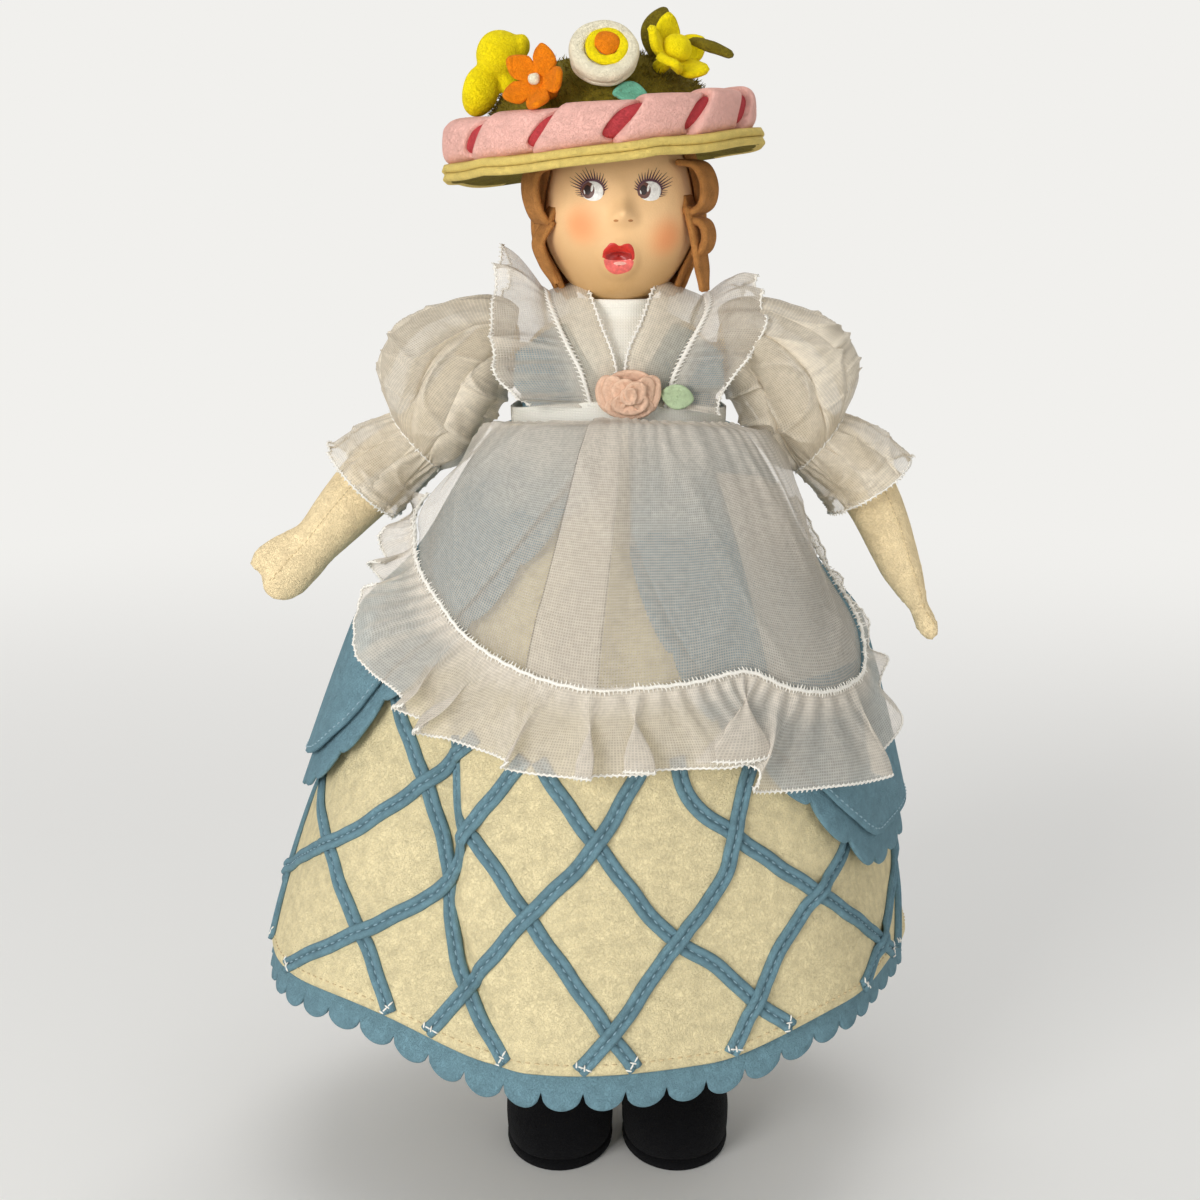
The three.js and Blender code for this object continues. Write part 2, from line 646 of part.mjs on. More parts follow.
const ROSE_X = 2;
const ROSE_RISE = 7.5;
const ROSE_HALF = 4;
const ROSE_DEPTH = 2.6;
const LEAF_HALF = 3;
const LEAF_X = 11.9;
const roseY = -(TORSO_HALF_DEPTH + bandOut + ORGANDIE + ROSE_DEPTH + 2 * GAP);
const roseZ = WAIST_Z + ROSE_RISE;
const petals = [blob(ROSE_HALF, ROSE_DEPTH, ROSE_HALF * 0.85, ROSE_X, roseY, roseZ + ROSE_HALF * 0.1)];
for (let k = 0; k < 5; k += 1) {
  const turn = (k / 5) * Math.PI * 2 + 0.3;
  const petalX = ROSE_X + ROSE_HALF * Math.cos(turn);
  const petalZ = roseZ + ROSE_HALF * 0.58 * Math.sin(turn);
  const petalY = roseY + ROSE_DEPTH * 0.23;
  petals.push(blob(ROSE_HALF * 0.9, ROSE_DEPTH * 0.85, ROSE_HALF * 0.65, petalX, petalY, petalZ, 6, 5));
}
add("waist_rose", join(...petals), COLOURS.felt_peach);
const leafY = roseY + ROSE_DEPTH * 0.46;
const leaf = blob(LEAF_HALF, LEAF_HALF * 0.2, LEAF_HALF * 0.63, LEAF_X, leafY, roseZ - LEAF_HALF * 0.27, 10, 6);
add("rose_leaf", leaf, COLOURS.felt_leaf);

// Arms and sleeves, along one bent centre line each

function armLine(side, droop, forearm) {
  const start = vec(side * (CHEST_HALF + GAP), 0, SHOULDER_Z);
  const reach = (from, length, angle, y) => {
    const bend = radians(angle);
    return vec(from.x + side * length * Math.cos(bend), y, from.z - length * Math.sin(bend));
  };
  const elbow = reach(start, UPPER_ARM, droop[0], 0);
  const tip = reach(elbow, forearm, droop[1], -7);
  const cap = vec(start.x + side * 4, 0, SHOULDER_Z);
  const half = start.clone().lerp(elbow, 0.55);
  const wrist = elbow.clone().lerp(tip, 0.55);
  return new THREE.CatmullRomCurve3([start, cap, half, elbow, wrist, tip]);
}

// Ring across the arm; rise and sink are its reach above and below the centre line.
function armRing(line, share, side, rise, sink, halfDepth, count, ripple = 0, folds = 0) {
  const centre = line.getPointAt(share);
  const along = line.getTangentAt(share);
  const up = vec(-along.z * side, 0, along.x * side).normalize();
  return Array.from({ length: count }, (_, i) => {
    const turn = (i / count) * Math.PI * 2;
    const wave = 1 + ripple * Math.cos(turn * folds);
    const high = (rise - sink) / 2 + ((rise + sink) / 2) * Math.cos(turn) * wave;
    const deep = halfDepth * Math.sin(turn) * wave;
    return centre.clone().addScaledVector(up, high).add(vec(0, deep, 0));
  });
}

function tube(rings) {
  const [outer, inner] = rings;
  const count = outer[0].length;
  const pick = (set) => (u, v) => {
    const row = set[Math.round(v * (set.length - 1))];
    return row[Math.round(u * count) % count].clone();
  };
  return cloth(pick(outer), pick(inner), count, outer.length - 1, true);
}

for (const [side, word, droop, forearm] of [
  [1, "left", LEFT_ARM_DROOP, LEFT_FOREARM], [-1, "right", RIGHT_ARM_DROOP, RIGHT_FOREARM],
]) {
  const line = armLine(side, droop, forearm);
  const length = line.getLength();
  // The right hand is a mitten; the left arm is sewn to a slim point, pinched in at the wrist
  const mitten = [
    [0.7, FOREARM_R * 0.91], [0.8, WRIST_R], [0.88, PALM_R], [0.95, PALM_R * 0.82], [0.985, PALM_R * 0.54],
    [1, PALM_R * 0.22],
  ];
  const pointed = [
    [0.7, FOREARM_R * 0.82], [0.82, WRIST_R * 0.95], [0.885, POINT_R], [0.94, POINT_R], [0.98, POINT_R * 0.7],
    [1, POINT_R * 0.3],
  ];
  const upper = [[0, ARM_R * 0.84], [0.05, ARM_R], [0.13, ARM_R], [0.25, ARM_R], [0.4, ARM_R], [0.56, FOREARM_R]];
  const stations = [...upper, ...(side < 0 ? mitten : pointed)];
  const flat = (share) => 1 - 0.3 * smooth(share, 0.72, 0.88);
  const rings = stations.map(([share, r]) => armRing(line, share, side, r, r, r * flat(share), 16));
  const palm = line.getPointAt(0.87);
  const thumb = blob(THUMB_R, THUMB_R * 0.9, THUMB_R * 2.1, 0, 0, 0).rotateY(side * radians(62));
  thumb.translate(palm.x + side * THUMB_R * 2, palm.y, palm.z + THUMB_R * 1.2);
  const bore = barX(CORD_R + GAP, 7.5, side * (CHEST_HALF + GAP + 3.4), 0, SHOULDER_Z);
  const limb = side < 0 ? join(loft(rings), thumb) : loft(rings);
  add(`${word}_arm`, cut(limb, bore), COLOURS.felt_flesh);

  const at = (distance) => distance / length;
  const clear = ARM_R + GAP + 0.2;
  const snug = FOREARM_R + GAP + 0.3;
  const puff = [
    [1.4, clear + 1, clear, clear], [6, clear + PUFF_RISE * 0.6, clear, PUFF_HALF_DEPTH - 2],
    [13, clear + PUFF_RISE, clear + 0.3, PUFF_HALF_DEPTH],
    [21, clear + PUFF_RISE, clear + 0.6, PUFF_HALF_DEPTH],
    [27, clear + PUFF_RISE * 0.65, clear + 0.6, PUFF_HALF_DEPTH - 1.5], [PUFF_LENGTH, snug, snug, snug],
  ];
  const sleeve = (rows, folds) => [ORGANDIE, 0].map((t) => rows.map(([distance, rise, sink, depth], j) => {
    const ripple = j && j < rows.length - 1 ? 0.03 : 0;
    return armRing(line, at(distance), side, rise + t, sink + t, depth + t, 20, ripple, folds);
  }));
  add(`${word}_puff_sleeve`, tube(sleeve(puff, 8)), COLOURS.organdie);
  const end = PUFF_LENGTH + GAP + FLOUNCE_LENGTH;
  const flounce = [
    [PUFF_LENGTH + GAP, snug, snug, snug],
    [PUFF_LENGTH + FLOUNCE_LENGTH * 0.4, snug + 2, snug + 0.5, snug + 1.6],
    [end, snug + FLOUNCE_FLARE, snug + 0.9, snug + FLOUNCE_FLARE],
  ];
  add(`${word}_flounce`, tube(sleeve(flounce, 8)), COLOURS.organdie);
}

// Legs, boots and soles

const legTopX = TONGUE_HALF + GAP + LEG_TOP_HALF;
for (const [side, word] of [[1, "left"], [-1, "right"]]) {
  const x = side * LEG_X;
  const topX = side * legTopX;
  const legRings = [
    [SOLE_T + INSTEP_Z - 1, x, LEG_R - 0.6, LEG_R - 0.6], [BOOT_HEIGHT, x, LEG_R, LEG_R],
    [HIP_Z - 36, x, LEG_R + 0.6, LEG_R + 1], [HIP_Z - 20, x, LEG_R + 0.5, LEG_R + 1.2],
    [HIP_Z - 12, mix(x, topX, 0.6), LEG_TOP_HALF + 1.4, LEG_R + 0.6], [HIP_Z - 7, topX, LEG_TOP_HALF, LEG_R],
    [HIP_Z + 4, topX, LEG_TOP_HALF, LEG_R - 1], [HIP_Z + 7, topX, LEG_TOP_HALF - 1.4, LEG_R - 3.6],
  ];
  const leg = loft(legRings.map(([z, cx, halfX, halfY]) => ellipse(cx, 0, z, halfX, halfY, 16)));
  add(`${word}_leg`, cut(leg, barX(CORD_R + GAP, 4 * LEG_X, 0, 0, HIP_Z)), COLOURS.felt_flesh);

  const bootRow = (z, front, back, halfX) => ellipse(x, (front + back) / 2, z, halfX, (back - front) / 2, 20);
  const shaft = LEG_R + GAP + FELT;
  const boot = loft([
    bootRow(SOLE_T + GAP, TOE_Y + 0.6, HEEL_Y - 0.4, BOOT_HALF_W - 0.5),
    bootRow(SOLE_T + INSTEP_Z * 0.35, TOE_Y + 0.2, HEEL_Y, BOOT_HALF_W - 0.2),
    bootRow(SOLE_T + INSTEP_Z * 0.75, TOE_Y + 3, HEEL_Y, BOOT_HALF_W - 0.5),
    bootRow(SOLE_T + INSTEP_Z, TOE_Y + 8.5, HEEL_Y - 0.3, BOOT_HALF_W - 1.2),
    bootRow(SOLE_T + INSTEP_Z + 5, -shaft - 0.8, shaft + 0.6, shaft + 0.4),
    bootRow(BOOT_HEIGHT, -shaft, shaft, shaft),
  ]);
  const legSpace = loft([
    ellipse(x, 0, SOLE_T + INSTEP_Z - 1 - GAP, LEG_R - 0.6 + GAP, LEG_R - 0.6 + GAP, 16),
    ellipse(x, 0, BOOT_HEIGHT, LEG_R + GAP, LEG_R + GAP, 16),
    ellipse(x, 0, BOOT_HEIGHT + 2, LEG_R + GAP, LEG_R + GAP, 16),
  ]);
  add(`${word}_boot`, cut(boot, legSpace), COLOURS.felt_black);
  add(`${word}_sole`, loft([
    bootRow(0, TOE_Y, HEEL_Y + 0.6, BOOT_HALF_W),
    bootRow(SOLE_T, TOE_Y, HEEL_Y + 0.6, BOOT_HALF_W),
  ]), COLOURS.felt_black);
}

// Head: pressed felt with full cheeks, a small chin and a button nose

const headZ = NECK_Z + HEAD_LIFT + HEAD_HALF_H;

function headPoint(turn, rise, out) {
  const up = Math.sin(rise);
  const round = Math.cos(rise);
  const jaw = up < 0 ? 1 - 0.06 * up * up : 1;
  const cheek = 1 + 0.05 * Math.exp(-(((up + 0.35) / 0.25) ** 2));
  const facing = Math.max(Math.cos(turn), 0) ** 24;
  const nose = 2.2 * Math.max(Math.cos(turn), 0) ** 60 * Math.exp(-(((up + 0.1) / 0.12) ** 2));
  const chin = 1.2 * facing * Math.exp(-(((up + 0.8) / 0.18) ** 2));
  const x = Math.sin(turn) * (HEAD_HALF_W + out) * round * jaw * cheek;
  const y = -Math.cos(turn) * (HEAD_HALF_D + out) * round - nose - chin;
  return vec(x, HEAD_Y + y, headZ + up * (HEAD_HALF_H + out));
}

// Rings of the head, counted up from the chin, and the flats around each ring
const HEAD_RING_COUNT = 11;
const HEAD_FLAT_COUNT = 24;
const headRise = (ring) => mix(-Math.PI / 2 + 0.16, Math.PI / 2 - 0.16, ring / HEAD_RING_COUNT);
const headTurn = (flat) => (flat / HEAD_FLAT_COUNT) * Math.PI * 2;
const headRings = Array.from({ length: HEAD_RING_COUNT + 1 }, (_, j) =>
  Array.from({ length: HEAD_FLAT_COUNT }, (_, i) => headPoint(headTurn(i), headRise(j), 0)));
add("head", cut(loft(headRings), barZ(PEG_R + GAP, NECK_Z - 2, NECK_Z + PEG_RISE + GAP, 0, 0)),
  COLOURS.felt_flesh);

// Back hair covers the flats from one temple round to the other
const TEMPLE_FLAT_COUNT = 5;
const hairFlats = HEAD_FLAT_COUNT - 2 * TEMPLE_FLAT_COUNT;
const hairLayer = (out) => (u, v) =>
  headPoint(headTurn(TEMPLE_FLAT_COUNT + u * hairFlats), headRise(mix(3, 8, v)), out);
add("back_hair", cloth(hairLayer(GAP + HAIR_T), hairLayer(GAP), hairFlats, 5, false), COLOURS.felt_brown);

// Hair locks: felt strips that hang at each side of the face
function lock(side, points, width) {
  const line = new THREE.CatmullRomCurve3(points.map(([x, y, z]) => vec(side * x, HEAD_Y + y, headZ + z)));
  const layer = (out) => (u, v) => {
    const along = line.getTangentAt(u);
    const across = vec(side * 0.5, 0.87, 0);
    const normal = along.clone().cross(across).normalize();
    const taper = 1 - 0.45 * smooth(u, 0.7, 1);
    return line.getPointAt(u).addScaledVector(across, (v - 0.5) * width * taper).addScaledVector(normal, out);
  };
  return cloth(layer(THIN_FELT / 2), layer(-THIN_FELT / 2), 10, 1, false);
}
const lockX = HEAD_HALF_W - 1.6;
const lockY = -9;
const loopX = HEAD_HALF_W - 2.7;
add("left_hair_loop", lock(1, [
  [loopX, lockY, 7.4], [loopX + 4.6, lockY + 0.6, 6.4], [loopX + 6, lockY + 1, 1],
  [loopX + 3, lockY + 0.4, -1.6],
], 5), COLOURS.felt_brown);
add("left_hair_lock", lock(1, [
  [lockX, lockY, -3.4], [lockX + 2.2, lockY + 0.6, -7], [lockX + 3.2, lockY + 1, -11],
  [lockX + 3, lockY + 1.4, -14.4],
], 4), COLOURS.felt_brown);
add("right_hair_loop", lock(-1, [
  [loopX, lockY, 7.4], [loopX + 4.6, lockY + 0.6, 6.4], [loopX + 6, lockY + 1, 1.2],
  [loopX + 3, lockY + 0.4, -1.8],
], 5), COLOURS.felt_brown);
add("right_hair_lock", lock(-1, [
  [lockX, lockY, -3.8], [lockX + 1.6, lockY + 0.6, -8], [lockX + 1.2, lockY + 1, -12],
  [lockX, lockY + 1.2, -14.6],
], 3.6), COLOURS.felt_brown);

// Hat, built level and then tipped on to the head

const hatPlace = new THREE.Matrix4().makeRotationFromEuler(
  new THREE.Euler(radians(HAT_NOD), radians(-HAT_ROLL), 0),
);
hatPlace.setPosition(HAT_X, 0, headZ + HAT_LIFT);

function addHat(name, geometry, colour) {
  add(name, geometry.applyMatrix4(hatPlace), colour);
}

function turned(profile, count) {
  const points = profile.map(([r, z]) => new THREE.Vector2(r, z));
  const lathe = new THREE.LatheGeometry([...points, points[0].clone()], count);
  return mergeVertices(stripped(lathe.rotateX(Math.PI / 2)), 1e-4);
}

function stripped(geometry) {
  const bare = new THREE.BufferGeometry();
  bare.setAttribute("position", geometry.getAttribute("position"));
  bare.setIndex(geometry.getIndex());
  return bare;
}

// The hole in the brim is round the head, which stands off the middle of the hat
function brimLayer(low) {
  const disc = new THREE.Shape().absarc(0, 0, BRIM_R, 0, Math.PI * 2);
  disc.holes.push(new THREE.Path().absarc(-HAT_X, HEAD_Y, HAT_HOLE_R, 0, Math.PI * 2, true));
  const layer = new THREE.ExtrudeGeometry(disc, { depth: BRIM_T, bevelEnabled: false, curveSegments: 16 });
  return toGeometry(toSolid(mergeVertices(stripped(layer), 1e-4))).translate(0, 0, low);
}
addHat("brim_lining", brimLayer(-2 * BRIM_T - GAP), COLOURS.felt_yellow);
addHat("brim_top", brimLayer(-BRIM_T), COLOURS.felt_yellow);

const crownAt = (share, r, h) => [r * Math.cos(share) ** 0.8, h * Math.sin(share)];
const crownSteps = [0, 0.4, 0.8, 1.15, 1.4];
const crownOuter = crownSteps.map((s) => crownAt(s, CROWN_R, CROWN_H));
const crownInner = crownSteps.map((s) => crownAt(s, CROWN_R - FELT, CROWN_H - FELT)).reverse();
const crownShell = [...crownOuter, [0, CROWN_H], [0, CROWN_H - FELT], ...crownInner];
const crownPoints = crownShell.map(([r, z]) => new THREE.Vector2(r, z + GAP));
const crownLathe = new THREE.LatheGeometry([...crownPoints, crownPoints[0].clone()], 22);
addHat("hat_crown", toGeometry(toSolid(crownLathe.rotateX(Math.PI / 2))), COLOURS.felt_olive);

const bandCentre = CROWN_R + GAP + BAND_R;
const hatBand = hoop((u, v) => {
  const turn = u * Math.PI * 2;
  const roll = v * Math.PI * 2;
  const step = (u * BAND_PLEAT_COUNT + 0.25 * Math.sin(roll)) % 1;
  const swell = 1 - 0.2 * Math.abs(step - 0.5) * 2;
  const r = bandCentre + BAND_R * swell * Math.cos(roll);
  return vec(r * Math.cos(turn), r * Math.sin(turn), GAP + BAND_R * (1 + swell * Math.sin(roll)));
}, BAND_PLEAT_COUNT * 3, 7);
addHat("hat_band", hatBand, COLOURS.felt_pink);

// Flowers on the crown, each built about its own stalk and stood on the crown surface

function standOn(geometry, turn, share, lean = 0) {
  const [r, z] = crownAt(share, CROWN_R, CROWN_H);
  const [rNext, zNext] = crownAt(share + 0.02, CROWN_R, CROWN_H);
  const slope = Math.atan2(r - rNext, zNext - z) + lean;
  geometry.rotateY(Math.PI / 2 - slope).translate(r, 0, z + GAP);
  return geometry.rotateZ(radians(turn));
}
const stalk = (radius, length) => barZ(radius, GAP, length, 0, 0);

const lowerLobe = blob(4.5, 4.3, 4.3, 1.4, 0.3, 6, 8, 6);
const upperLobe = blob(5, 4.2, 4, -6.2, -0.6, 7.9, 8, 6);
const yellowBud = join(stalk(2.2, 6), lowerLobe, upperLobe);
addHat("yellow_bud", standOn(yellowBud, 198, 0.62, 0), COLOURS.bright_yellow);

function flower(count, radius, size, lift) {
  const leaves = [stalk(1.6, lift), blob(2.4, 2.4, 1.5, 0, 0, lift, 8, 5)];
  for (let k = 0; k < count; k += 1) {
    const petal = blob(size, size * 0.8, 1.3, radius, 0, lift, 6, 3);
    leaves.push(petal.rotateZ((k / count) * Math.PI * 2));
  }
  return join(...leaves);
}
const ORANGE_LIFT = 7.6;
const ORANGE_TURN = 243;
addHat("orange_flower", standOn(flower(5, 3.7, 2.8, ORANGE_LIFT), ORANGE_TURN, 0.62), COLOURS.felt_orange);
const bead = blob(1.2, 1.2, 1.2, 0, 0, ORANGE_LIFT + 1.5 + 1.2 + GAP, 8, 6);
addHat("orange_bead", standOn(bead, ORANGE_TURN, 0.62), COLOURS.felt_white);

const daisyTurn = 278;
const daisyShare = 0.88;
const daisyProfile = [[2, GAP], [2, 3.4], [7.2, 4], [7.4, 5.4], [6.6, 7], [4.6, 7], [4.6, 6], [0, 6], [0, GAP]];
const daisyDisc = turned(daisyProfile, 18);
addHat("white_disc_flower", standOn(toGeometry(toSolid(daisyDisc)), daisyTurn, daisyShare), COLOURS.felt_white);
const daisyRing = turned([[2.4, 6 + GAP], [4.3, 6 + GAP], [4.3, 7.4], [2.4, 7.4]], 20);
addHat("disc_flower_ring", standOn(daisyRing, daisyTurn, daisyShare), COLOURS.bright_yellow);
addHat("disc_flower_core", standOn(barZ(2.1, 6 + GAP, 7.9, 0, 0), daisyTurn, daisyShare), COLOURS.felt_orange);

addHat("yellow_flower", standOn(flower(5, 3.6, 3, 6), 323, 0.8), COLOURS.bright_yellow);
addHat("mint_leaf", standOn(blob(1.8, 3.2, 0.6, 0.6, 0, 1, 8, 5), 288, 0.6), COLOURS.felt_mint);
const tallLeaf = blob(0.7, 2.9, 4.6, 0, 0, 4.9, 8, 5).rotateZ(radians(72));
addHat("olive_leaf", standOn(tallLeaf, 342, 1.1), COLOURS.felt_olive);
addHat("olive_stem", standOn(blob(1.1, 1.3, 4.2, 0, 0, 4.5, 7, 5), 344, 0.85, -0.7), COLOURS.felt_olive);

// The origin is the middle of the doll's outline on the floor
const extent = new THREE.Box3().setFromObject(doll);
const centre = extent.getCenter(vec(0, 0, 0));
for (const mesh of doll.children) {
  mesh.geometry.translate(-centre.x, -centre.y, -extent.min.z);
}

export default doll;
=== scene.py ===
"""A cloth doll in felt and organdie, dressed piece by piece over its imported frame."""

import math

import bmesh
import bpy
import numpy as np
from bpy.props import FloatProperty, FloatVectorProperty, IntProperty, PointerProperty
from mathutils import Matrix, Vector
from mathutils.bvhtree import BVHTree


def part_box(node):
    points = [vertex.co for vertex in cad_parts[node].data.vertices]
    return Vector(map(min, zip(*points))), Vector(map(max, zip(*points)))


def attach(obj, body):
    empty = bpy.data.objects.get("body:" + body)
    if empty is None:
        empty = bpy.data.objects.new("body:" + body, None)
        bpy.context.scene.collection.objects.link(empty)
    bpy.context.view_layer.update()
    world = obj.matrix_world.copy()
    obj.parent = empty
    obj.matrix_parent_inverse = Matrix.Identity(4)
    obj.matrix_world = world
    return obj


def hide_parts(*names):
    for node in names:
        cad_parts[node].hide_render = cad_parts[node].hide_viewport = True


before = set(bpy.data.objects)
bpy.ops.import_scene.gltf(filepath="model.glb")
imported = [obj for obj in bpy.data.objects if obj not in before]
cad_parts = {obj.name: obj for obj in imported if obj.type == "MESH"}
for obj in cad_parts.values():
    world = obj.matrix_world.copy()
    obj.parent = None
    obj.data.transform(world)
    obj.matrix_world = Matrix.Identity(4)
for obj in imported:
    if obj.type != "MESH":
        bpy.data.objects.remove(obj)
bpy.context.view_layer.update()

bl_info = {
    "name": "Cloth Doll",
    "version": (1, 0, 0),
    "blender": (4, 5, 0),
    "location": "View3D > Sidebar > Doll",
    "description": "Dresses the jointed doll frame in felt, organdie and thread",
    "category": "Object",
}

# Measures that the frame was cut to, in millimetres
GAP = 0.3
FELT = 1.2
THIN_FELT = 0.9
ORGANDIE = 0.6
HIP_Z = 100.0
WAIST_Z = 162.0
SHOULDER_Z = 177.0
NECK_Z = 184.5
CHEST_HALF = 20.5
WAIST_HALF = 19.0
SEAT_HALF = 18.0
TONGUE_HALF = 8.0
TORSO_HALF_DEPTH = 14.4
NECK_HALF = 8.5
LEG_X = 12.9
LEG_R = 8.0
LEG_TOP_HALF = 4.3
BOOT_HEIGHT = 45.0
BOOT_HALF_W = 11.8
TOE_Y = -24.0
HEEL_Y = 11.0
INSTEP_Z = 13.0
SOLE_T = 2.0
UPPER_ARM = 43.0
FOREARM = {1: 36.0, -1: 32.0}
ARM_R = 6.2
FOREARM_R = 7.4
ARM_DROOP = {1: (43, 65), -1: (42, 47)}
PUFF_LENGTH = 31.0
PUFF_RISE = 11.0
PUFF_HALF_DEPTH = 13.0
FLOUNCE_LENGTH = 14.0
FLOUNCE_FLARE = 3.4
SKIRT_DROP = 128.0
HEM_R = 72.0
BELL_SPREAD = 21.0
SKIRT_DEPTH_SHARE = 0.86
SKIRT_SWING = -7.4
FOLD_DEPTH = 2.2
CREASE_DEPTH = 5.0
SIDE_SINK = 7.5
HEM_ABOVE_TIPS = 7.5
RIGHT_HEM_RISE = 9.5
LEFT_HEM_RISE = 6.5
BAND_WIDTH = 17.0
STRIP_LEAN = 94.0
HEAD_HALF_W = 15.6
HEAD_HALF_D = 17.0
HEAD_HALF_H = 20.5
HEAD_Y = -1.5
HEAD_Z = NECK_Z + 0.7 + HEAD_HALF_H
HAT_X = -3.7
HAT_Z = HEAD_Z + 12.8
HAT_NOD = -1.0
HAT_ROLL = 6.5
BRIM_R = 33.0
BRIM_T = 1.4
HAT_HOLE_R = 17.7
CROWN_R = 23.5
CROWN_H = 17.5

# The torso stands on the design's own middle line, wherever the frame puts it
TORSO_LOW, TORSO_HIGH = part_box("torso")
MIDDLE = np.array([TORSO_LOW.x + TORSO_HIGH.x, TORSO_LOW.y + TORSO_HIGH.y, 0.0]) * 500

SIDES = ((1, "left"), (-1, "right"))


def linear(code):
    """sRGB hex to the linear colour that shaders take."""
    parts = [int(code[i:i + 2], 16) / 255 for i in (1, 3, 5)]
    return tuple(p / 12.92 if p <= 0.04045 else ((p + 0.055) / 1.055) ** 2.4 for p in parts)


def colour_of(name, use, code):
    """A colour that a user can change, with its sRGB default."""
    return FloatVectorProperty(
        name=name, description=use, subtype="COLOR", size=3, min=0.0, max=1.0, default=linear(code)
    )


def length_of(name, use, millimetres):
    """A length that a user can change, with its default in millimetres."""
    return FloatProperty(
        name=name, description=use, subtype="DISTANCE", unit="LENGTH", precision=5, min=0.0001,
        default=millimetres / 1000,
    )


def count_of(name, use, count, least):
    """A number of repeats that a user can change."""
    return IntProperty(name=name, description=use, default=count, min=least)


class DollSizes(bpy.types.PropertyGroup):
    """Sizes of the sewing on the doll."""

    strip_width: length_of("Strip width", "Width of the folded lattice strips", 3.3)
    strip_height: length_of("Strip height", "How far a lattice strip stands off the skirt", 1.0)
    stitch_length: length_of("Stitch length", "Length of one sewn stitch", 1.1)
    stitch_gap: length_of("Stitch spacing", "Distance from one stitch to the next", 1.9)
    thread_radius: length_of("Thread radius", "Radius of the sewing thread", 0.17)
    scallop_depth: length_of("Scallop depth", "Depth of the cut scallops", 3.6)
    hem_scallops: count_of("Hem scallops", "Scallops round the hem band", 52, 12)
    trim_scallops: count_of("Trim scallops", "Scallops along the overskirt", 36, 8)
    frill_depth: length_of("Frill depth", "Depth of the apron's gathered frill", 16.5)
    frill_pleats: count_of("Frill pleats", "Pleats along the apron's frill", 17, 4)
    weave: length_of("Organdie weave", "Distance between threads of the organdie", 0.42)
    camera_lens: FloatProperty(
        name="Lens", description="Focal length of the camera", subtype="DISTANCE_CAMERA", default=61.32,
        min=10.0,
    )


class DollColours(bpy.types.PropertyGroup):
    """Colours of the felts, cloths, threads and paints."""

    blue_felt: colour_of("Blue felt", "Bodice, overskirt, strips and hem band", "#7294A0")
    cream_felt: colour_of("Cream felt", "Skirt", "#E6D7AB")
    flesh_felt: colour_of("Flesh felt", "Pressed felt of the face", "#F6C993")
    arm_felt: colour_of("Arm felt", "Felt of the arms and legs", "#F8E0B2")
    black_felt: colour_of("Black felt", "Boots", "#0C0C0E")
    brown_felt: colour_of("Brown felt", "Hair", "#B57C44")
    # On the underside of the brim the olive felt is painted shade
    olive_felt: colour_of("Olive felt", "Hat crown, leaves and underside of the brim", "#7A6C1E")
    yellow_felt: colour_of("Yellow felt", "Hat brim", "#E6CC76")
    bright_yellow_felt: colour_of("Bright yellow felt", "Yellow flowers", "#FBE212")
    pink_felt: colour_of("Pink felt", "Hat band", "#F2BBAE")
    # The rose felt is the pink felt darkened: painted shade for the gaps between the hat band's wraps
    rose_felt: colour_of("Rose felt", "Roll that the hat band is wound on", "#BF454A")
    orange_felt: colour_of("Orange felt", "Orange flower", "#EE8412")
    white_felt: colour_of("White felt", "Rolled disc flower and bead", "#F2E9CC")
    mint_felt: colour_of("Mint felt", "Small leaf under the disc flower", "#7CC6A8")
    peach_felt: colour_of("Peach felt", "Rose at the waist", "#F6CDB0")
    leaf_felt: colour_of("Leaf felt", "Leaf at the waist", "#C2D6AC")
    cotton: colour_of("White cotton", "Blouse front and waistband", "#FAF6EA")
    organdie: colour_of("Organdie", "Apron and frills", "#DAD1C3")
    fine_organdie: colour_of("Fine organdie", "Sleeves, flounces and straps", "#DDD2BE")
    white_thread: colour_of("White thread", "Overcast edges and tacking", "#F6F2E8")
    blue_thread: colour_of("Blue thread", "Stitching on the blue felt", "#8FAFBC")
    cream_thread: colour_of("Cream thread", "Cords, and stitching on the skirt and arms", "#D8C193")
    calico: colour_of("Calico", "Torso", "#D9C39B")
    peg_wood: colour_of("Beech", "Neck peg", "#C39A66")
    lip_red: colour_of("Lip red", "Painted upper lip", "#CF2A1D")
    lip_pink: colour_of("Lip pink", "Painted lower lip", "#E7685F")
    lip_light: colour_of("Lip light", "Painted light on the lower lip", "#F3B3A4")
    # The nostril colour is darker flesh, painted shade for the nostrils
    nostril_tan: colour_of("Nostril tan", "Painted nostrils", "#C0824C")
    mouth_dark: colour_of("Mouth dark", "Painted inside of the mouth", "#9E1A14")
    eye_white: colour_of("Eye white", "Painted whites of the eyes", "#F4F0EA")
    iris_brown: colour_of("Iris brown", "Painted irises", "#6A4136")
    pupil_dark: colour_of("Pupil", "Painted pupils", "#2A1716")
    lash_brown: colour_of("Lashes", "Painted lashes and lids", "#5A3640")
    blush: colour_of("Blush", "Colour rubbed on the cheeks", "#F0935A")


def size(name):
    """A size from the panel, in millimetres."""
    value = getattr(bpy.context.scene.doll_sizes, name)
    return value if isinstance(value, int) else value * 1000


def colour(name, shade=1.0):
    """A colour from the panel, darkened or lightened by a factor, with alpha."""
    values = getattr(bpy.context.scene.doll_colours, name)
    return (*[min(v * shade, 1.0) for v in values], 1.0)


# Small tools for shapes: arrays of points in millimetres, and lists of faces


def smooth(x, low, high):
    x = np.clip((np.asarray(x, float) - low) / (high - low), 0, 1)
    return x * x * (3 - 2 * x)


def mix(a, b, share):
    return a + (b - a) * share


def bump(x, middle, half):
    return np.exp(-(((np.asarray(x, float) - middle) / half) ** 2))


def unit(v):
    return v / np.maximum(np.linalg.norm(v, axis=-1, keepdims=True), 1e-9)


def spin(axis, degrees):
    return np.array(Matrix.Rotation(math.radians(degrees), 3, axis))


def circle(count):
    """Turns evenly spaced right round."""
    return np.linspace(0, math.tau, count, endpoint=False)


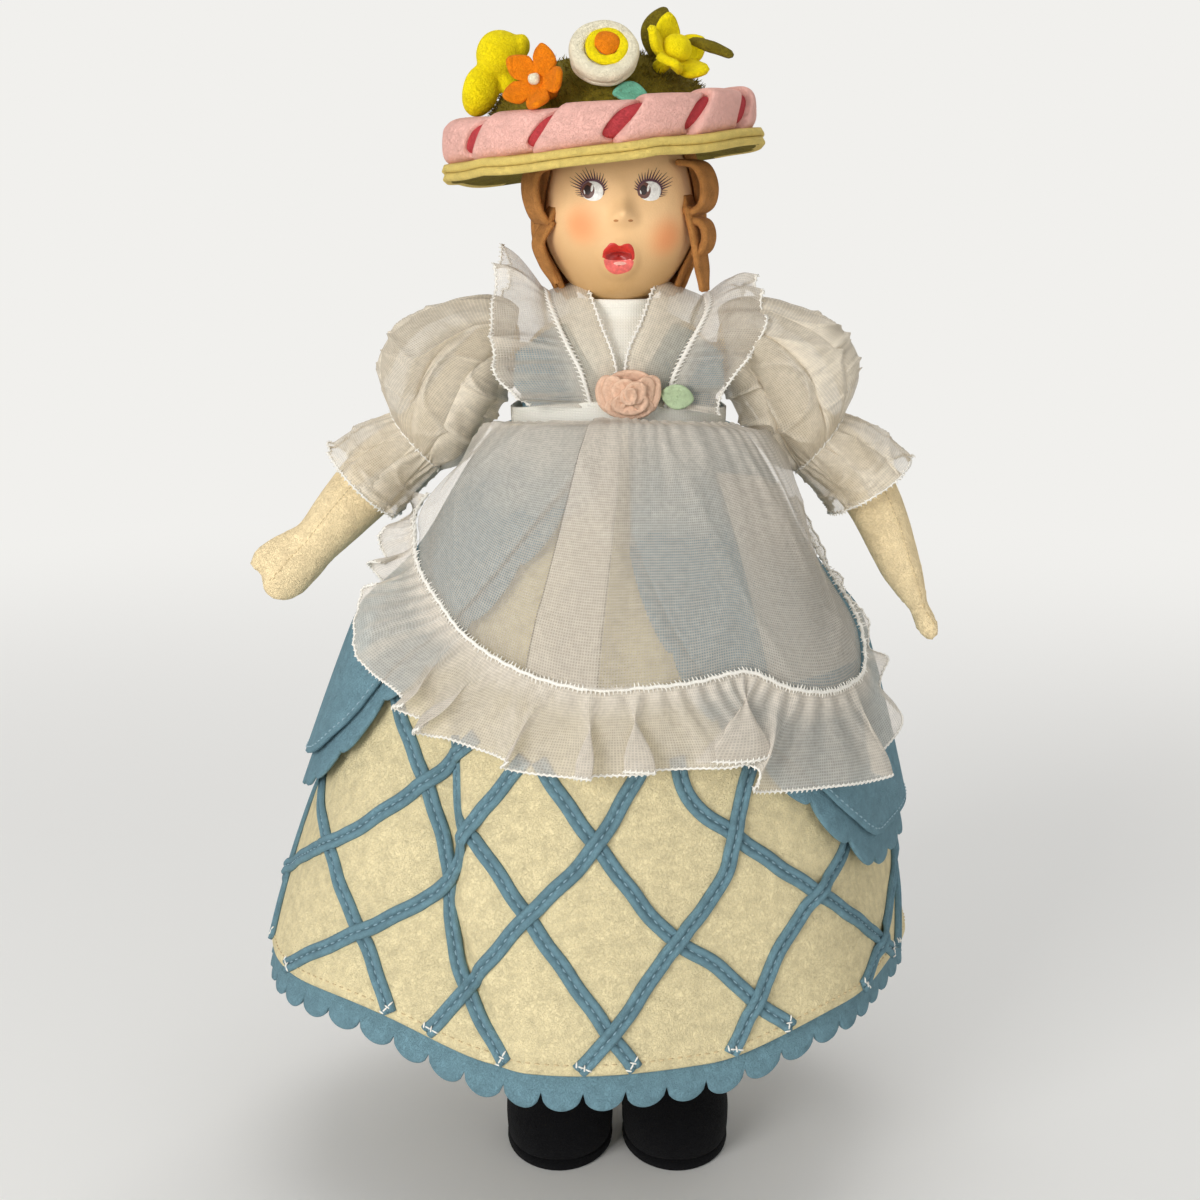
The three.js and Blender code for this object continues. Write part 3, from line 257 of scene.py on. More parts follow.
def squared(turn, power):
    """Cosine and sine of a rounded square: the lower the power, the squarer."""
    return [np.sign(f) * np.abs(f) ** power for f in (np.cos(turn), np.sin(turn))]


def dense_curve(points):
    """Many points along a centripetal curve through the given ones."""
    p = np.asarray(points, float)
    p = np.vstack([2 * p[0] - p[1], p, 2 * p[-1] - p[-2]])
    t = np.linspace(0, 1, 41)[:, None]
    runs = []
    for a, b, c, d in zip(p, p[1:], p[2:], p[3:]):
        ka, kb, kc = [max(np.linalg.norm(q - r), 1e-6) ** 0.5 for q, r in ((b, a), (c, b), (d, c))]
        leave = ((b - a) / ka - (c - a) / (ka + kb) + (c - b) / kb) * kb
        arrive = ((c - b) / kb - (d - b) / (kb + kc) + (d - c) / kc) * kb
        square, cube = 3 * (c - b) - 2 * leave - arrive, 2 * (b - c) + leave + arrive
        run = b + leave * t + square * t**2 + cube * t**3
        runs.append(run[:-1])
    return np.vstack([*runs, p[-2:-1]])


def along(points, shares):
    """Places and directions at shares of the length of a line of points."""
    steps = np.linalg.norm(np.diff(points, axis=0), axis=1)
    run = np.r_[0, np.cumsum(steps)] / steps.sum()

    def pick(values):
        return np.stack([np.interp(shares, run, column) for column in values.T], -1)

    return pick(points), unit(pick(unit(np.gradient(points, axis=0))))


def length_along(points):
    return float(np.linalg.norm(np.diff(points, axis=0), axis=1).sum())


def grid_faces(across, down, wrap=False):
    i, j = np.meshgrid(np.arange(across if wrap else across - 1), np.arange(down - 1), indexing="ij")
    n = (i + 1) % across
    quads = np.stack([i * down + j, n * down + j, n * down + j + 1, i * down + j + 1], -1)
    return quads.reshape(-1, 4).tolist()


def grid_normals(points, wrap=False):
    around = np.roll(points, -1, 0) - np.roll(points, 1, 0) if wrap else np.gradient(points, axis=0)
    return unit(np.cross(np.gradient(points, axis=1), around))


def cloth_layer(points, wrap=False):
    """One layer of thin cloth."""
    return points.reshape(-1, 3), grid_faces(*points.shape[:2], wrap)


def felt_layer(outer, thick, wrap=False):
    """A felt sheet under the given face, with softly rounded cut edges."""
    inner = outer - grid_normals(outer, wrap) * thick
    across, down = outer.shape[:2]
    count = across * down
    faces = grid_faces(across, down, wrap)
    faces += [[k + count for k in reversed(face)] for face in faces]
    ends = [[(i, 0, i, 1) for i in range(across)], [(i, down - 1, i, down - 2) for i in range(across)]]
    if not wrap:
        right = [(across - 1, j, across - 2, j) for j in range(down)]
        left = [(0, j, 1, j) for j in range(down)]
        ends = [ends[0] + right + ends[1][::-1] + left[::-1]]
    points = [outer.reshape(-1, 3), inner.reshape(-1, 3)]
    total = 2 * count
    for loop in ends:
        rows = np.array(loop)
        edge = outer[rows[:, 0], rows[:, 1]]
        away = unit(edge - outer[rows[:, 2], rows[:, 3]])
        points.append((edge + inner[rows[:, 0], rows[:, 1]]) / 2 + away * thick * 0.32)
        top = rows[:, 0] * down + rows[:, 1]
        for k in range(len(loop)):
            n = (k + 1) % len(loop)
            if top[k] != top[n]:
                faces.append([top[k], top[n], total + n, total + k])
                faces.append([total + k, total + n, top[n] + count, top[k] + count])
            else:
                faces.append([top[k], total + n, total + k])
                faces.append([total + k, total + n, top[k] + count])
        total += len(loop)
    return np.vstack(points), faces


def loft(rings):
    """A closed skin through a row of rings."""
    rings = np.asarray(rings, float)
    count, around = rings.shape[:2]
    faces = grid_faces(around, count, True)
    points = np.swapaxes(rings, 0, 1).reshape(-1, 3)
    faces.append([i * count for i in range(around)])
    faces.append([i * count + count - 1 for i in reversed(range(around))])
    return points, faces


def ring(x, y, z, half_x, half_y, count):
    turn = circle(count)
    return np.stack([x + half_x * np.cos(turn), y + half_y * np.sin(turn), np.full(count, float(z))], -1)


def tube_faces(across, around, meets):
    """Faces of a tube of rings, which may meet its own start."""
    faces = []
    for i in range(across if meets else across - 1):
        here, there = i * around, (i + 1) % across * around
        for j in range(around):
            n = (j + 1) % around
            faces.append([here + j, there + j, there + n, here + n])
    return faces


def rope(path, radius, sides):
    """A thread or roll along a line of points; the radius may change along it."""
    path = np.asarray(path, float)
    heading = unit(np.gradient(path, axis=0))
    radius = np.broadcast_to(np.asarray(radius, float), len(path))
    side = unit(np.cross(heading[0], [0.31, 0.22, 0.92]))
    turn = circle(sides)[:, None]
    rings = []
    for p, h, r in zip(path, heading, radius):
        side = unit(side - h * np.dot(side, h))
        rings.append(p + r * (np.cos(turn) * side + np.sin(turn) * np.cross(h, side)))
    return loft(rings)


# A stitch's rings from end to end: place along it, swelling and rise, in lengths and radii of the thread
STITCH_RINGS = ((-0.5, 0.45, -0.5), (-0.22, 0.95, 0.25), (0.22, 0.95, 0.25), (0.5, 0.45, -0.5))


def sewn(centres, heading, up, length, radius):
    """Stitches, each a short thread that arches out of the cloth and dips back in."""
    centres, heading, up = (np.asarray(v, float).reshape(-1, 3) for v in (centres, heading, up))
    heading = unit(heading)
    across = unit(np.cross(heading, up))
    up = unit(np.cross(across, heading))
    sides = 5
    turn = circle(sides)[None, :, None]
    spread = np.cos(turn) * across[:, None] + np.sin(turn) * up[:, None]
    rows = []
    for place, swell, rise in STITCH_RINGS:
        middle = centres + heading * (place * length) + up * (rise * radius)
        rows.append(middle[:, None] + spread * radius * swell)
    count = sides * len(STITCH_RINGS)
    one = []
    for start in range(0, count - sides, sides):
        for k in range(sides):
            n = (k + 1) % sides
            one.append([start + k, start + n, start + sides + n, start + sides + k])
    one += [list(reversed(range(sides))), list(range(count - sides, count))]
    faces = [[v + count * n for v in face] for n in range(len(centres)) for face in one]
    return np.stack(rows, 1).reshape(-1, 3), faces


def merged(*shells):
    points, faces, start = [], [], 0
    for shell_points, shell_faces in shells:
        shell_points = np.asarray(shell_points, float).reshape(-1, 3)
        points.append(shell_points)
        faces += [[k + start for k in face] for face in shell_faces]
        start += len(shell_points)
    return np.vstack(points), faces


def moved(shell, turn, offset):
    points, faces = shell
    return points @ np.asarray(turn).T + np.asarray(offset, float), faces


def make(name, shell, finish, weave=None, outward=True):
    """A named piece from points in millimetres, in one finish or several."""
    points, faces = shell
    mesh = bpy.data.meshes.new(name)
    mesh.from_pydata(((points + MIDDLE) * 0.001).tolist(), [], [[int(k) for k in face] for face in faces])
    if weave is not None:
        layer = mesh.attributes.new("weave_mm", "FLOAT_VECTOR", "POINT")
        flat = np.zeros((len(points), 3), np.float32)
        flat[:, :weave.shape[-1]] = weave.reshape(len(points), -1)
        layer.data.foreach_set("vector", flat.ravel())
    if outward:
        work = bmesh.new()
        work.from_mesh(mesh)
        bmesh.ops.recalc_face_normals(work, faces=work.faces)
        work.to_mesh(mesh)
        work.free()
    mesh.polygons.foreach_set("use_smooth", [True] * len(mesh.polygons))
    for one in [finish] if isinstance(finish, str) else finish:
        mesh.materials.append(finish_of(one))
    piece = bpy.data.objects.new(name, mesh)
    bpy.context.scene.collection.objects.link(piece)
    return piece


def wear(piece, body, slot, *nodes):
    """The piece rides on a body and stands for its nodes, which it hides; slot is not used."""
    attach(piece, body)
    if nodes:
        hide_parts(*nodes)
    return piece


def sew(body, name, shell, finish, *nodes, **how):
    """A piece made in its finish and put on its body."""
    return wear(make(name, shell, finish, **how), body, FINISH_ROWS[finish][0], *nodes)


def sew_sheer(body, name, points, finish, node, wrap=False):
    """A piece of one sheer layer, with its weave."""
    weave = weave_of(points, wrap)
    return sew(body, name, cloth_layer(points, wrap), finish, node, weave=weave, outward=False)


def weave_of(points, wrap=False):
    """Distances in millimetres along and across a cloth, for its weave, and how steeply it folds."""
    across = np.linalg.norm(np.diff(points, axis=0), axis=2).mean(1)
    down = np.linalg.norm(np.diff(points, axis=1), axis=2).mean(0)
    u, v = np.r_[0, np.cumsum(across)], np.r_[0, np.cumsum(down)]
    normal = grid_normals(points, wrap)
    place = np.arange(len(points))
    reach = len(points) // 14
    calm = 0
    for k in range(-reach, reach + 1):
        near = (place + k) % len(points) if wrap else np.clip(place + k, 0, len(points) - 1)
        calm = calm + normal[near]
    steep = 1 - np.abs((normal * unit(calm)).sum(-1))
    return np.stack(np.broadcast_arrays(u[:, None], v[None, :], steep), -1)


def edging(line, inward, up, reach, gap, radius):
    """A hand-overcast edge: a cord along the line and stitches that wrap over it, each a little astray."""
    count = max(int(length_along(line) / gap), 4)
    shares = (np.arange(count) + 0.5) / count
    places, heading = along(line, shares)
    lean = unit(along(inward, shares)[0])
    astray = np.sin(np.arange(count) * 12.9898)[:, None] * 0.5
    wraps = sewn(places + lean * reach * 0.18 * astray, lean + heading * (0.35 + 0.4 * astray),
                 along(up, shares)[0], reach * 1.5, radius)
    fine = np.linspace(0, 1, 2 * count)
    zigzag = np.where(np.arange(2 * count) % 2, 0.5, -0.5)[:, None]
    picot = unit(along(inward, fine)[0]) * zigzag * radius
    return merged(rope(along(line, fine)[0] + picot, radius * 1.15, 5), wraps)


def rim_edging(points, normals, gap, radius, wrap=False):
    """The overcast lower edge of a sheet, right round where the sheet is a tube."""
    rows = [points[:, -1], points[:, -2] - points[:, -1], normals[:, -1]]
    return edging(*[closed(row) if wrap else row for row in rows], 0.8, gap, radius)


def closed(rows):
    """A row of points that ends where it starts."""
    return np.vstack([rows, rows[:1]])


def running_stitch(line, up, shift=0.5):
    """Stitches along a line; up is a normal at each point, or how far they lean up from straight out."""
    count = int(length_along(line) / size("stitch_gap"))
    shares = (np.arange(count) + shift) / count
    places, heading = along(line, shares)
    above = along(up, shares)[0] if np.ndim(up) else unit(places * [1, 1, 0] + [0, 0, up])
    return sewn(places, heading, above, size("stitch_length"), size("thread_radius"))


# Finishes. A Map Range node takes a value, the range it comes from and the range it goes to


def add(tree, kind, inputs=None, out=0, **settings):
    """One node with its settings, its values and its links; gives one of its outputs."""
    made = tree.nodes.new(kind)
    for key, value in settings.items():
        setattr(made, key, value)
    give(tree, made, inputs or {})
    return made.outputs[out] if made.outputs else None


def give(tree, node, inputs):
    """Values and links for the sockets of a node."""
    for key, value in inputs.items():
        if isinstance(value, bpy.types.NodeSocket):
            tree.links.new(value, node.inputs[key])
        else:
            node.inputs[key].default_value = value


# What a Mix node needs to mix two colours
RGBA = {"out": 2, "data_type": "RGBA"}


def node_of(tree, kind):
    return next(n for n in tree.nodes if n.type == kind)


def blank(name):
    """A new material with only its shader."""
    made = bpy.data.materials.new(name)
    made.use_nodes = True
    return made, made.node_tree, node_of(made.node_tree, "BSDF_PRINCIPLED")


def pressed_felt(name, tint, mottle=0.2, fibre_mm=0.5, depth_mm=0.3):
    """Wool felt, pressed from loose fibres: matt, clouded, with a tangle of fine hairs on it."""
    made, tree, shader = blank(name)
    cloud_mm = 2.6
    where = add(tree, "ShaderNodeTexCoord", out="Object")
    clouds = {"Vector": where, "Scale": 1000 / cloud_mm, "Detail": 5.0, "Roughness": 0.62}
    tone = add(tree, "ShaderNodeMapRange", {0: add(tree, "ShaderNodeTexNoise", clouds), 1: 0.34, 2: 0.62})
    dark, light = colour(tint, 1 - 0.8 * mottle), colour(tint, 1 + 0.5 * mottle)
    body = add(tree, "ShaderNodeMix", {0: tone, 6: dark, 7: light}, **RGBA)
    # A hair lies wherever a stretched noise passes through its middle value
    hairs = []
    layers = (1.9, 0.0, 1 + 0.8 * mottle, 0.55), (1.5, 0.03, 1 - 1.5 * mottle, 0.45)
    for scale, shift, shade, share in layers:
        place = add(tree, "ShaderNodeVectorMath", {0: where, 1: (shift, shift, 0.0)}, operation="ADD")
        tangle = {"Vector": place, "Scale": 1000 / (scale * fibre_mm), "Detail": 1.5, "Distortion": 2.2}
        noise = add(tree, "ShaderNodeTexNoise", tangle)
        off = add(tree, "ShaderNodeMath", {0: noise, 1: 0.5}, operation="SUBTRACT")
        near = add(tree, "ShaderNodeMath", {0: off}, operation="ABSOLUTE")
        hairs.append(add(tree, "ShaderNodeMapRange", {0: near, 2: 0.05, 3: share, 4: 0.0}))
        body = add(tree, "ShaderNodeMix", {0: hairs[-1], 6: body, 7: colour(tint, shade)}, **RGBA)
    fuzz = {"Vector": where, "Scale": 1000 / (1.6 * fibre_mm), "Detail": 3.0, "Distortion": 1.0}
    nap = add(tree, "ShaderNodeTexNoise", fuzz)
    height = add(tree, "ShaderNodeMath", {0: hairs[0], 1: 0.8, 2: nap}, operation="MULTIPLY_ADD")
    give(tree, shader, {
        "Base Color": body,
        "Roughness": add(tree, "ShaderNodeMapRange", {0: hairs[0], 2: 0.5, 3: 0.97, 4: 0.86}),
        "Normal": add(
            tree, "ShaderNodeBump", {"Strength": 0.8, "Distance": depth_mm / 1000, "Height": height}
        ),
        "Sheen Weight": 0.02,
        "Specular IOR Level": 0.12,
    })
    return made


def groove_shaded_felt(name, tint):
    """A felt strip folded to its middle and sewn: the fold line is painted dark, as shade in its groove."""
    made = pressed_felt(name, tint, fibre_mm=0.42)
    tree = made.node_tree
    shader = node_of(tree, "BSDF_PRINCIPLED")
    plain = shader.inputs["Base Color"].links[0].from_socket
    place = add(tree, "ShaderNodeAttribute", out="Vector", attribute_name="weave_mm")
    off = add(tree, "ShaderNodeSeparateXYZ", {0: place}, out="Y")
    # Near the middle fold the felt is darkened: painted shade in the groove
    near = add(tree, "ShaderNodeMapRange", {0: off, 1: 0.05, 2: 0.38, 3: 0.6, 4: 0.0})
    groove_shaded = add(tree, "ShaderNodeMix", {0: near, 6: plain, 7: colour(tint, 0.4)}, **RGBA)
    give(tree, shader, {"Base Color": groove_shaded})
    return made


def stiff_organdie(name, tint, cover, seam_mm=8.0):
    """Organdie, a fine stiffened plain weave: sheer in its gaps, denser near the seam it is gathered to."""
    made, tree, shader = blank(name)
    where = add(tree, "ShaderNodeAttribute", out="Vector", attribute_name="weave_mm")
    # The real threads stand about 0.3 mm apart; they are drawn a little wider so that the weave shows
    scale = math.pi / 10 / size("weave")
    weave = {"Vector": where, "Scale": scale, "Distortion": 0.6, "Detail": 2.0, "Detail Scale": 0.6}
    warp, weft = (add(tree, "ShaderNodeTexWave", weave, out="Fac", bands_direction=axis) for axis in "XY")
    threads = add(tree, "ShaderNodeMath", {0: warp, 1: weft}, operation="MAXIMUM")
    uneven = {"Vector": where, "Scale": 1 / 1.1, "Detail": 3.0, "Roughness": 0.6}
    slub = add(tree, "ShaderNodeTexNoise", uneven)
    tone = add(tree, "ShaderNodeMapRange", {0: slub, 1: 0.3, 2: 0.7})
    sheer = add(tree, "ShaderNodeMapRange", {0: threads, 1: 0.35, 3: cover - 0.12, 4: cover + 0.1})
    down, steep = (add(tree, "ShaderNodeSeparateXYZ", {0: where}, out=axis) for axis in "YZ")
    patch = add(tree, "ShaderNodeTexNoise", {"Vector": where, "Scale": 1 / 9.0, "Detail": 2.0})
    uneven = add(tree, "ShaderNodeMath", {0: patch, 1: 0.9 * seam_mm, 2: down}, operation="MULTIPLY_ADD")
    dense = add(tree, "ShaderNodeMapRange", {0: uneven, 1: 0.3 * seam_mm, 2: 1.6 * seam_mm, 3: 0.38, 4: 0.0})
    folded = add(tree, "ShaderNodeMath", {0: steep, 1: 0.5, 2: dense}, operation="MULTIPLY_ADD")
    give(tree, shader, {
        "Base Color": add(
            tree, "ShaderNodeMix", {0: tone, 6: colour(tint, 0.88), 7: colour(tint, 1.12)}, **RGBA
        ),
        "Alpha": add(tree, "ShaderNodeMath", {0: sheer, 1: folded}, operation="ADD", use_clamp=True),
        "Normal": add(tree, "ShaderNodeBump", {"Strength": 0.35, "Distance": 0.0002, "Height": threads}),
        "Roughness": 0.75,
        "Sheen Weight": 0.06,
        "Specular IOR Level": 0.25,
    })
    return made


def woven_cotton(name, tint):
    """Plain-woven cotton: small square threads, matt, a little uneven."""
    made, tree, shader = blank(name)
    thread_mm, slub_mm = 0.55, 3.0
    where = add(tree, "ShaderNodeTexCoord", out="Object")
    weave = {"Vector": where, "Scale": 1000 * math.pi / 10 / thread_mm, "Distortion": 0.8, "Detail": 2.0}
    warp, weft = (add(tree, "ShaderNodeTexWave", weave, out="Fac", bands_direction=axis) for axis in "XZ")
    cross = add(tree, "ShaderNodeMath", {0: warp, 1: weft}, operation="MULTIPLY")
    slub = add(tree, "ShaderNodeTexNoise", {"Vector": where, "Scale": 1000 / slub_mm, "Detail": 3.0})
    tone = add(tree, "ShaderNodeMath", {0: cross, 1: slub}, operation="MULTIPLY")
    give(tree, shader, {
        "Base Color": add(
            tree, "ShaderNodeMix", {0: tone, 6: colour(tint, 0.92), 7: colour(tint, 1.06)}, **RGBA
        ),
        "Normal": add(tree, "ShaderNodeBump", {"Strength": 0.5, "Distance": 0.00015, "Height": cross}),
        "Roughness": 0.85,
    })
    return made


def spun_thread(name, tint):
    """Cotton sewing thread: twisted plies that catch a soft light."""
    made, tree, shader = blank(name)
    ply_mm = 0.6
    where = add(tree, "ShaderNodeTexCoord", out="Object")
    plies = {"Vector": where, "Scale": 1000 / ply_mm, "Detail": 2.0, "Distortion": 1.0}
    ply = add(tree, "ShaderNodeTexNoise", plies)
    give(tree, shader, {
        "Base Color": add(
            tree, "ShaderNodeMix", {0: ply, 6: colour(tint, 0.8), 7: colour(tint, 1.08)}, **RGBA
        ),
        "Normal": add(tree, "ShaderNodeBump", {"Strength": 0.5, "Distance": 0.0001, "Height": ply}),
        "Roughness": 0.6,
        "Sheen Weight": 0.15,
    })
    return made


def turned_beech(name, tint):
    """Beech dowel, turned and left bare: long grain with short flecks."""
    made, tree, shader = blank(name)
    grain_mm = 0.8
    where = add(tree, "ShaderNodeTexCoord", out="Object")
    long = add(tree, "ShaderNodeMapping", {"Vector": where, "Scale": (1.0, 1.0, 0.12)})
    grain = add(tree, "ShaderNodeTexNoise", {"Vector": long, "Scale": 1000 / grain_mm, "Detail": 4.0})
    give(tree, shader, {
        "Base Color": add(
            tree, "ShaderNodeMix", {0: grain, 6: colour(tint, 0.7), 7: colour(tint, 1.15)}, **RGBA
        ),
        "Normal": add(tree, "ShaderNodeBump", {"Strength": 0.3, "Distance": 0.0001, "Height": grain}),
        "Roughness": 0.55,
    })
    return made


# The rubbed cheeks as seen from the front: place and reach
CHEEKS = ((-7.6, 203.0, 6.4), (9.6, 200.4, 6.6))


def moulded_face(name, tint):
    """Felt pressed over a mould and sized: smooth satin skin, rubbed cheeks, a little aged, with painted
    shade under the chin.
    """
    made, tree, shader = blank(name)
    age_mm, pore_mm = 7.0, 0.35
    where = add(tree, "ShaderNodeTexCoord", out="Object")
    stains = {"Vector": where, "Scale": 1000 / age_mm, "Detail": 5.0, "Roughness": 0.65}
    age = add(tree, "ShaderNodeTexNoise", stains)
    pore = add(tree, "ShaderNodeTexNoise", {"Vector": where, "Scale": 1000 / pore_mm, "Detail": 3.0})
    height = add(tree, "ShaderNodeSeparateXYZ", {0: where}, out="Z")
    # Darker and yellower towards the jaw: painted shade under the chin, over a yellower lower face
    tall = add(tree, "ShaderNodeMapRange", {0: height, 1: 0.186, 2: 0.204})
    jaw = (*[part * shade for part, shade in zip(colour(tint), (0.52, 0.46, 0.3))], 1.0)
    skin = add(tree, "ShaderNodeMix", {0: tall, 6: jaw, 7: colour(tint)}, **RGBA)
    worn = add(tree, "ShaderNodeMapRange", {0: age, 1: 0.4, 2: 0.72, 3: 0.0, 4: 0.35})
    skin = add(tree, "ShaderNodeMix", {0: worn, 6: skin, 7: colour(tint, 0.78)}, **RGBA)
    for x, z, reach in CHEEKS:
        spot = ((x + MIDDLE[0]) / 1000, (face_y(x, z) + MIDDLE[1]) / 1000, z / 1000)
        off = add(tree, "ShaderNodeVectorMath", {0: where, 1: spot}, out="Value", operation="DISTANCE")
        fade = add(tree, "ShaderNodeMapRange", {0: off, 2: reach / 1000, 3: 0.72, 4: 0.0},
                   interpolation_type="SMOOTHERSTEP")
        skin = add(tree, "ShaderNodeMix", {0: fade, 6: skin, 7: colour("blush")}, **RGBA)
    give(tree, shader, {
        "Base Color": skin,
        "Roughness": add(tree, "ShaderNodeMapRange", {0: pore, 1: 0.3, 2: 0.7, 3: 0.5, 4: 0.66}),
        "Normal": add(tree, "ShaderNodeBump", {"Strength": 0.35, "Distance": 0.00012, "Height": pore}),
        "Specular IOR Level": 0.35,
    })
    return made


def brushed_paint(name, tint, gloss):
    """Oil paint laid on with a small brush: thin, faintly streaked, a little glossy."""
    made, tree, shader = blank(name)
    streak_mm = 0.7
    where = add(tree, "ShaderNodeTexCoord", out="Object")
    strokes = {"Vector": where, "Scale": 1000 / streak_mm, "Detail": 3.0, "Distortion": 0.6}
    streak = add(tree, "ShaderNodeTexNoise", strokes)
    tone = add(tree, "ShaderNodeMapRange", {0: streak, 1: 0.35, 2: 0.7})
    give(tree, shader, {
        "Base Color": add(
            tree, "ShaderNodeMix", {0: tone, 6: colour(tint, 0.84), 7: colour(tint, 1.12)}, **RGBA
        ),
        "Normal": add(tree, "ShaderNodeBump", {"Strength": 0.25, "Distance": 0.00005, "Height": streak}),
        "Roughness": gloss,
    })
    return made


# How clouded each felt is
MOTTLES = {
    "blue_felt": 0.17, "cream_felt": 0.19, "arm_felt": 0.15, "black_felt": 0.3, "brown_felt": 0.26,
    "yellow_felt": 0.14, "bright_yellow_felt": 0.13, "orange_felt": 0.16, "white_felt": 0.1,
    "pink_felt": 0.11, "mint_felt": 0.14, "peach_felt": 0.1, "leaf_felt": 0.12,
}
# Each paint's colour and roughness
PAINTS = {
    "lip_red_paint": ("lip_red", 0.38), "lip_pink_paint": ("lip_pink", 0.28),
    "lip_light_paint": ("lip_light", 0.28), "nostril_paint": ("nostril_tan", 0.5),
    "mouth_paint": ("mouth_dark", 0.38), "eye_white_paint": ("eye_white", 0.38),
    "iris_paint": ("iris_brown", 0.38), "pupil_paint": ("pupil_dark", 0.38),
    "lash_paint": ("lash_brown", 0.5),
}
# Each finish: its slot, what makes it, its colour and its own settings
FINISH_ROWS = {
    **{name: (name, pressed_felt, name, {"mottle": mottle}) for name, mottle in MOTTLES.items()},
    **{name: ("flesh_felt", brushed_paint, tint, {"gloss": gloss}) for name, (tint, gloss) in PAINTS.items()},
    **{name: ("thread", spun_thread, name, {}) for name in ("white_thread", "blue_thread", "cream_thread")},
    "olive_felt": (
        "olive_felt", pressed_felt, "olive_felt", {"mottle": 0.34, "fibre_mm": 0.7, "depth_mm": 0.5}
    ),
    # A darker rose copy of the pink felt: painted shade in the gaps of the hat band
    "rose_felt": ("pink_felt", pressed_felt, "rose_felt", {"mottle": 0.18}),
    "folded_blue_felt": ("blue_felt", groove_shaded_felt, "blue_felt", {}),
    "apron_organdie": ("organdie", stiff_organdie, "organdie", {"cover": 0.44, "seam_mm": 21.0}),
    "frill_organdie": ("organdie", stiff_organdie, "organdie", {"cover": 0.54, "seam_mm": 4.0}),
    "shoulder_organdie": ("organdie", stiff_organdie, "organdie", {"cover": 0.4, "seam_mm": 4.0}),
    "sleeve_organdie": ("organdie", stiff_organdie, "fine_organdie", {"cover": 0.6}),
    "strap_organdie": ("organdie", stiff_organdie, "fine_organdie", {"cover": 0.42}),
    "flounce_organdie": ("organdie", stiff_organdie, "fine_organdie", {"cover": 0.5}),
    "white_cotton": ("cotton", woven_cotton, "cotton", {}),
    "calico": ("calico", woven_cotton, "calico", {}),
    "beech": ("beech", turned_beech, "peg_wood", {}),
    "face_felt": ("flesh_felt", moulded_face, "flesh_felt", {}),
}
FINISHES = {}


def finish_of(name):
    """The named finish, made once; its own name keeps it apart from the plain CAD colours."""
    if name not in FINISHES:
        _, maker, tint, settings = FINISH_ROWS[name]
        full_name = name.replace("felt", "wool_felt").replace("calico", "body_calico")
        FINISHES[name] = maker(full_name, tint, **settings)
    return FINISHES[name]


# The skirt's own surface, which all its layers follow: turn is measured from the front


def bell_line():
    """The skirt's profile from waist to hem: shares of its length, its points and its length."""
    top = GAP + THIN_FELT + GAP + THIN_FELT + WAIST_HALF + GAP
    hem_z = WAIST_Z - SKIRT_DROP
    corners = np.array([
        (top, WAIST_Z), (top + BELL_SPREAD, WAIST_Z - 8), (HEM_R - 14, hem_z + 60), (HEM_R, hem_z)
    ])
    t = np.linspace(0, 1, 1601)[:, None]
    weights = ((1 - t) ** 3, 3 * (1 - t) ** 2 * t, 3 * (1 - t) * t**2, t**3)
    line = sum(weight * corner for weight, corner in zip(weights, corners))
    run = np.r_[0, np.cumsum(np.linalg.norm(np.diff(line, axis=0), axis=1))]
    return run / run[-1], line, float(run[-1])


BELL_SHARE, BELL_POINTS, BELL_LENGTH = bell_line()
HEM_SHARE = 1 - HEM_ABOVE_TIPS / BELL_LENGTH
# How far off the skirt the overskirt's inside and the apron lie
OVER_IN = 4.1
APRON_OUT = OVER_IN + FELT + 1.3
# Radii that the skirt is laid flat at to draw lines on it, and the points along one scallop
FLAT_SKIRT_R = 60
FLAT_APRON_R = 45
SCALLOP_STEPS = 14


def bell_radius(share):
    return np.interp(share, BELL_SHARE, BELL_POINTS[:, 0])


# The deep tuck: its turn in degrees at shares of the skirt's length
CREASE = [(0, -38), (0.5, -37), (0.69, -30.5), (0.75, -30.5), (0.914, -16.5), (1, -14)]


def fold_at(turn, share):
    """Depth of the soft folds, with one deep tuck that slants across the front."""
    degrees = np.degrees(turn)
    waves = 0.6 * np.cos(7 * turn + 0.6) + 0.4 * np.cos(4 * turn - 1)
    past = degrees - np.interp(share, *zip(*CREASE))
    behind = np.where(past < 0, np.exp(np.minimum(past, 0) / 15), 1 - smooth(past, 0, 6))
    deep = smooth(share, 0.33, 0.6) * (1 - 0.7 * smooth(share, 0.8, 0.97))
    return share**1.5 * FOLD_DEPTH * waves - deep * CREASE_DEPTH * behind


def skirt_point(turn, share):
    turn, share = np.broadcast_arrays(np.asarray(turn, float), np.clip(np.asarray(share, float), 0, 1))
    angle = (turn + math.pi) % math.tau - math.pi
    radius = bell_radius(share) + fold_at(angle, share)
    height = np.interp(share, BELL_SHARE, BELL_POINTS[:, 1])
    sink = SIDE_SINK * np.sin(angle) ** 2 * np.sin(math.pi * np.minimum(share * 2.6, 1))
    sideways = np.sin(angle)
    rise = RIGHT_HEM_RISE * smooth(-sideways, 0.2, 0.8) + LEFT_HEM_RISE * smooth(sideways, 0.35, 0.75)
    x = SKIRT_SWING * share**1.3 + radius * sideways
    return np.stack([x, -radius * np.cos(angle) * SKIRT_DEPTH_SHARE, height - sink + rise * share**2], -1)


def skirt_normal(turn, share):
    low, high = np.maximum(share - 0.02, 0), np.minimum(share + 0.02, 1)
    around = skirt_point(turn + 0.06, share) - skirt_point(turn - 0.06, share)
    return unit(np.cross(skirt_point(turn, high) - skirt_point(turn, low), around))


def on_skirt(turn, share, out):
    turn, share, out = np.broadcast_arrays(turn, share, out)
    return skirt_point(turn, share) + skirt_normal(turn, share) * out[..., None]


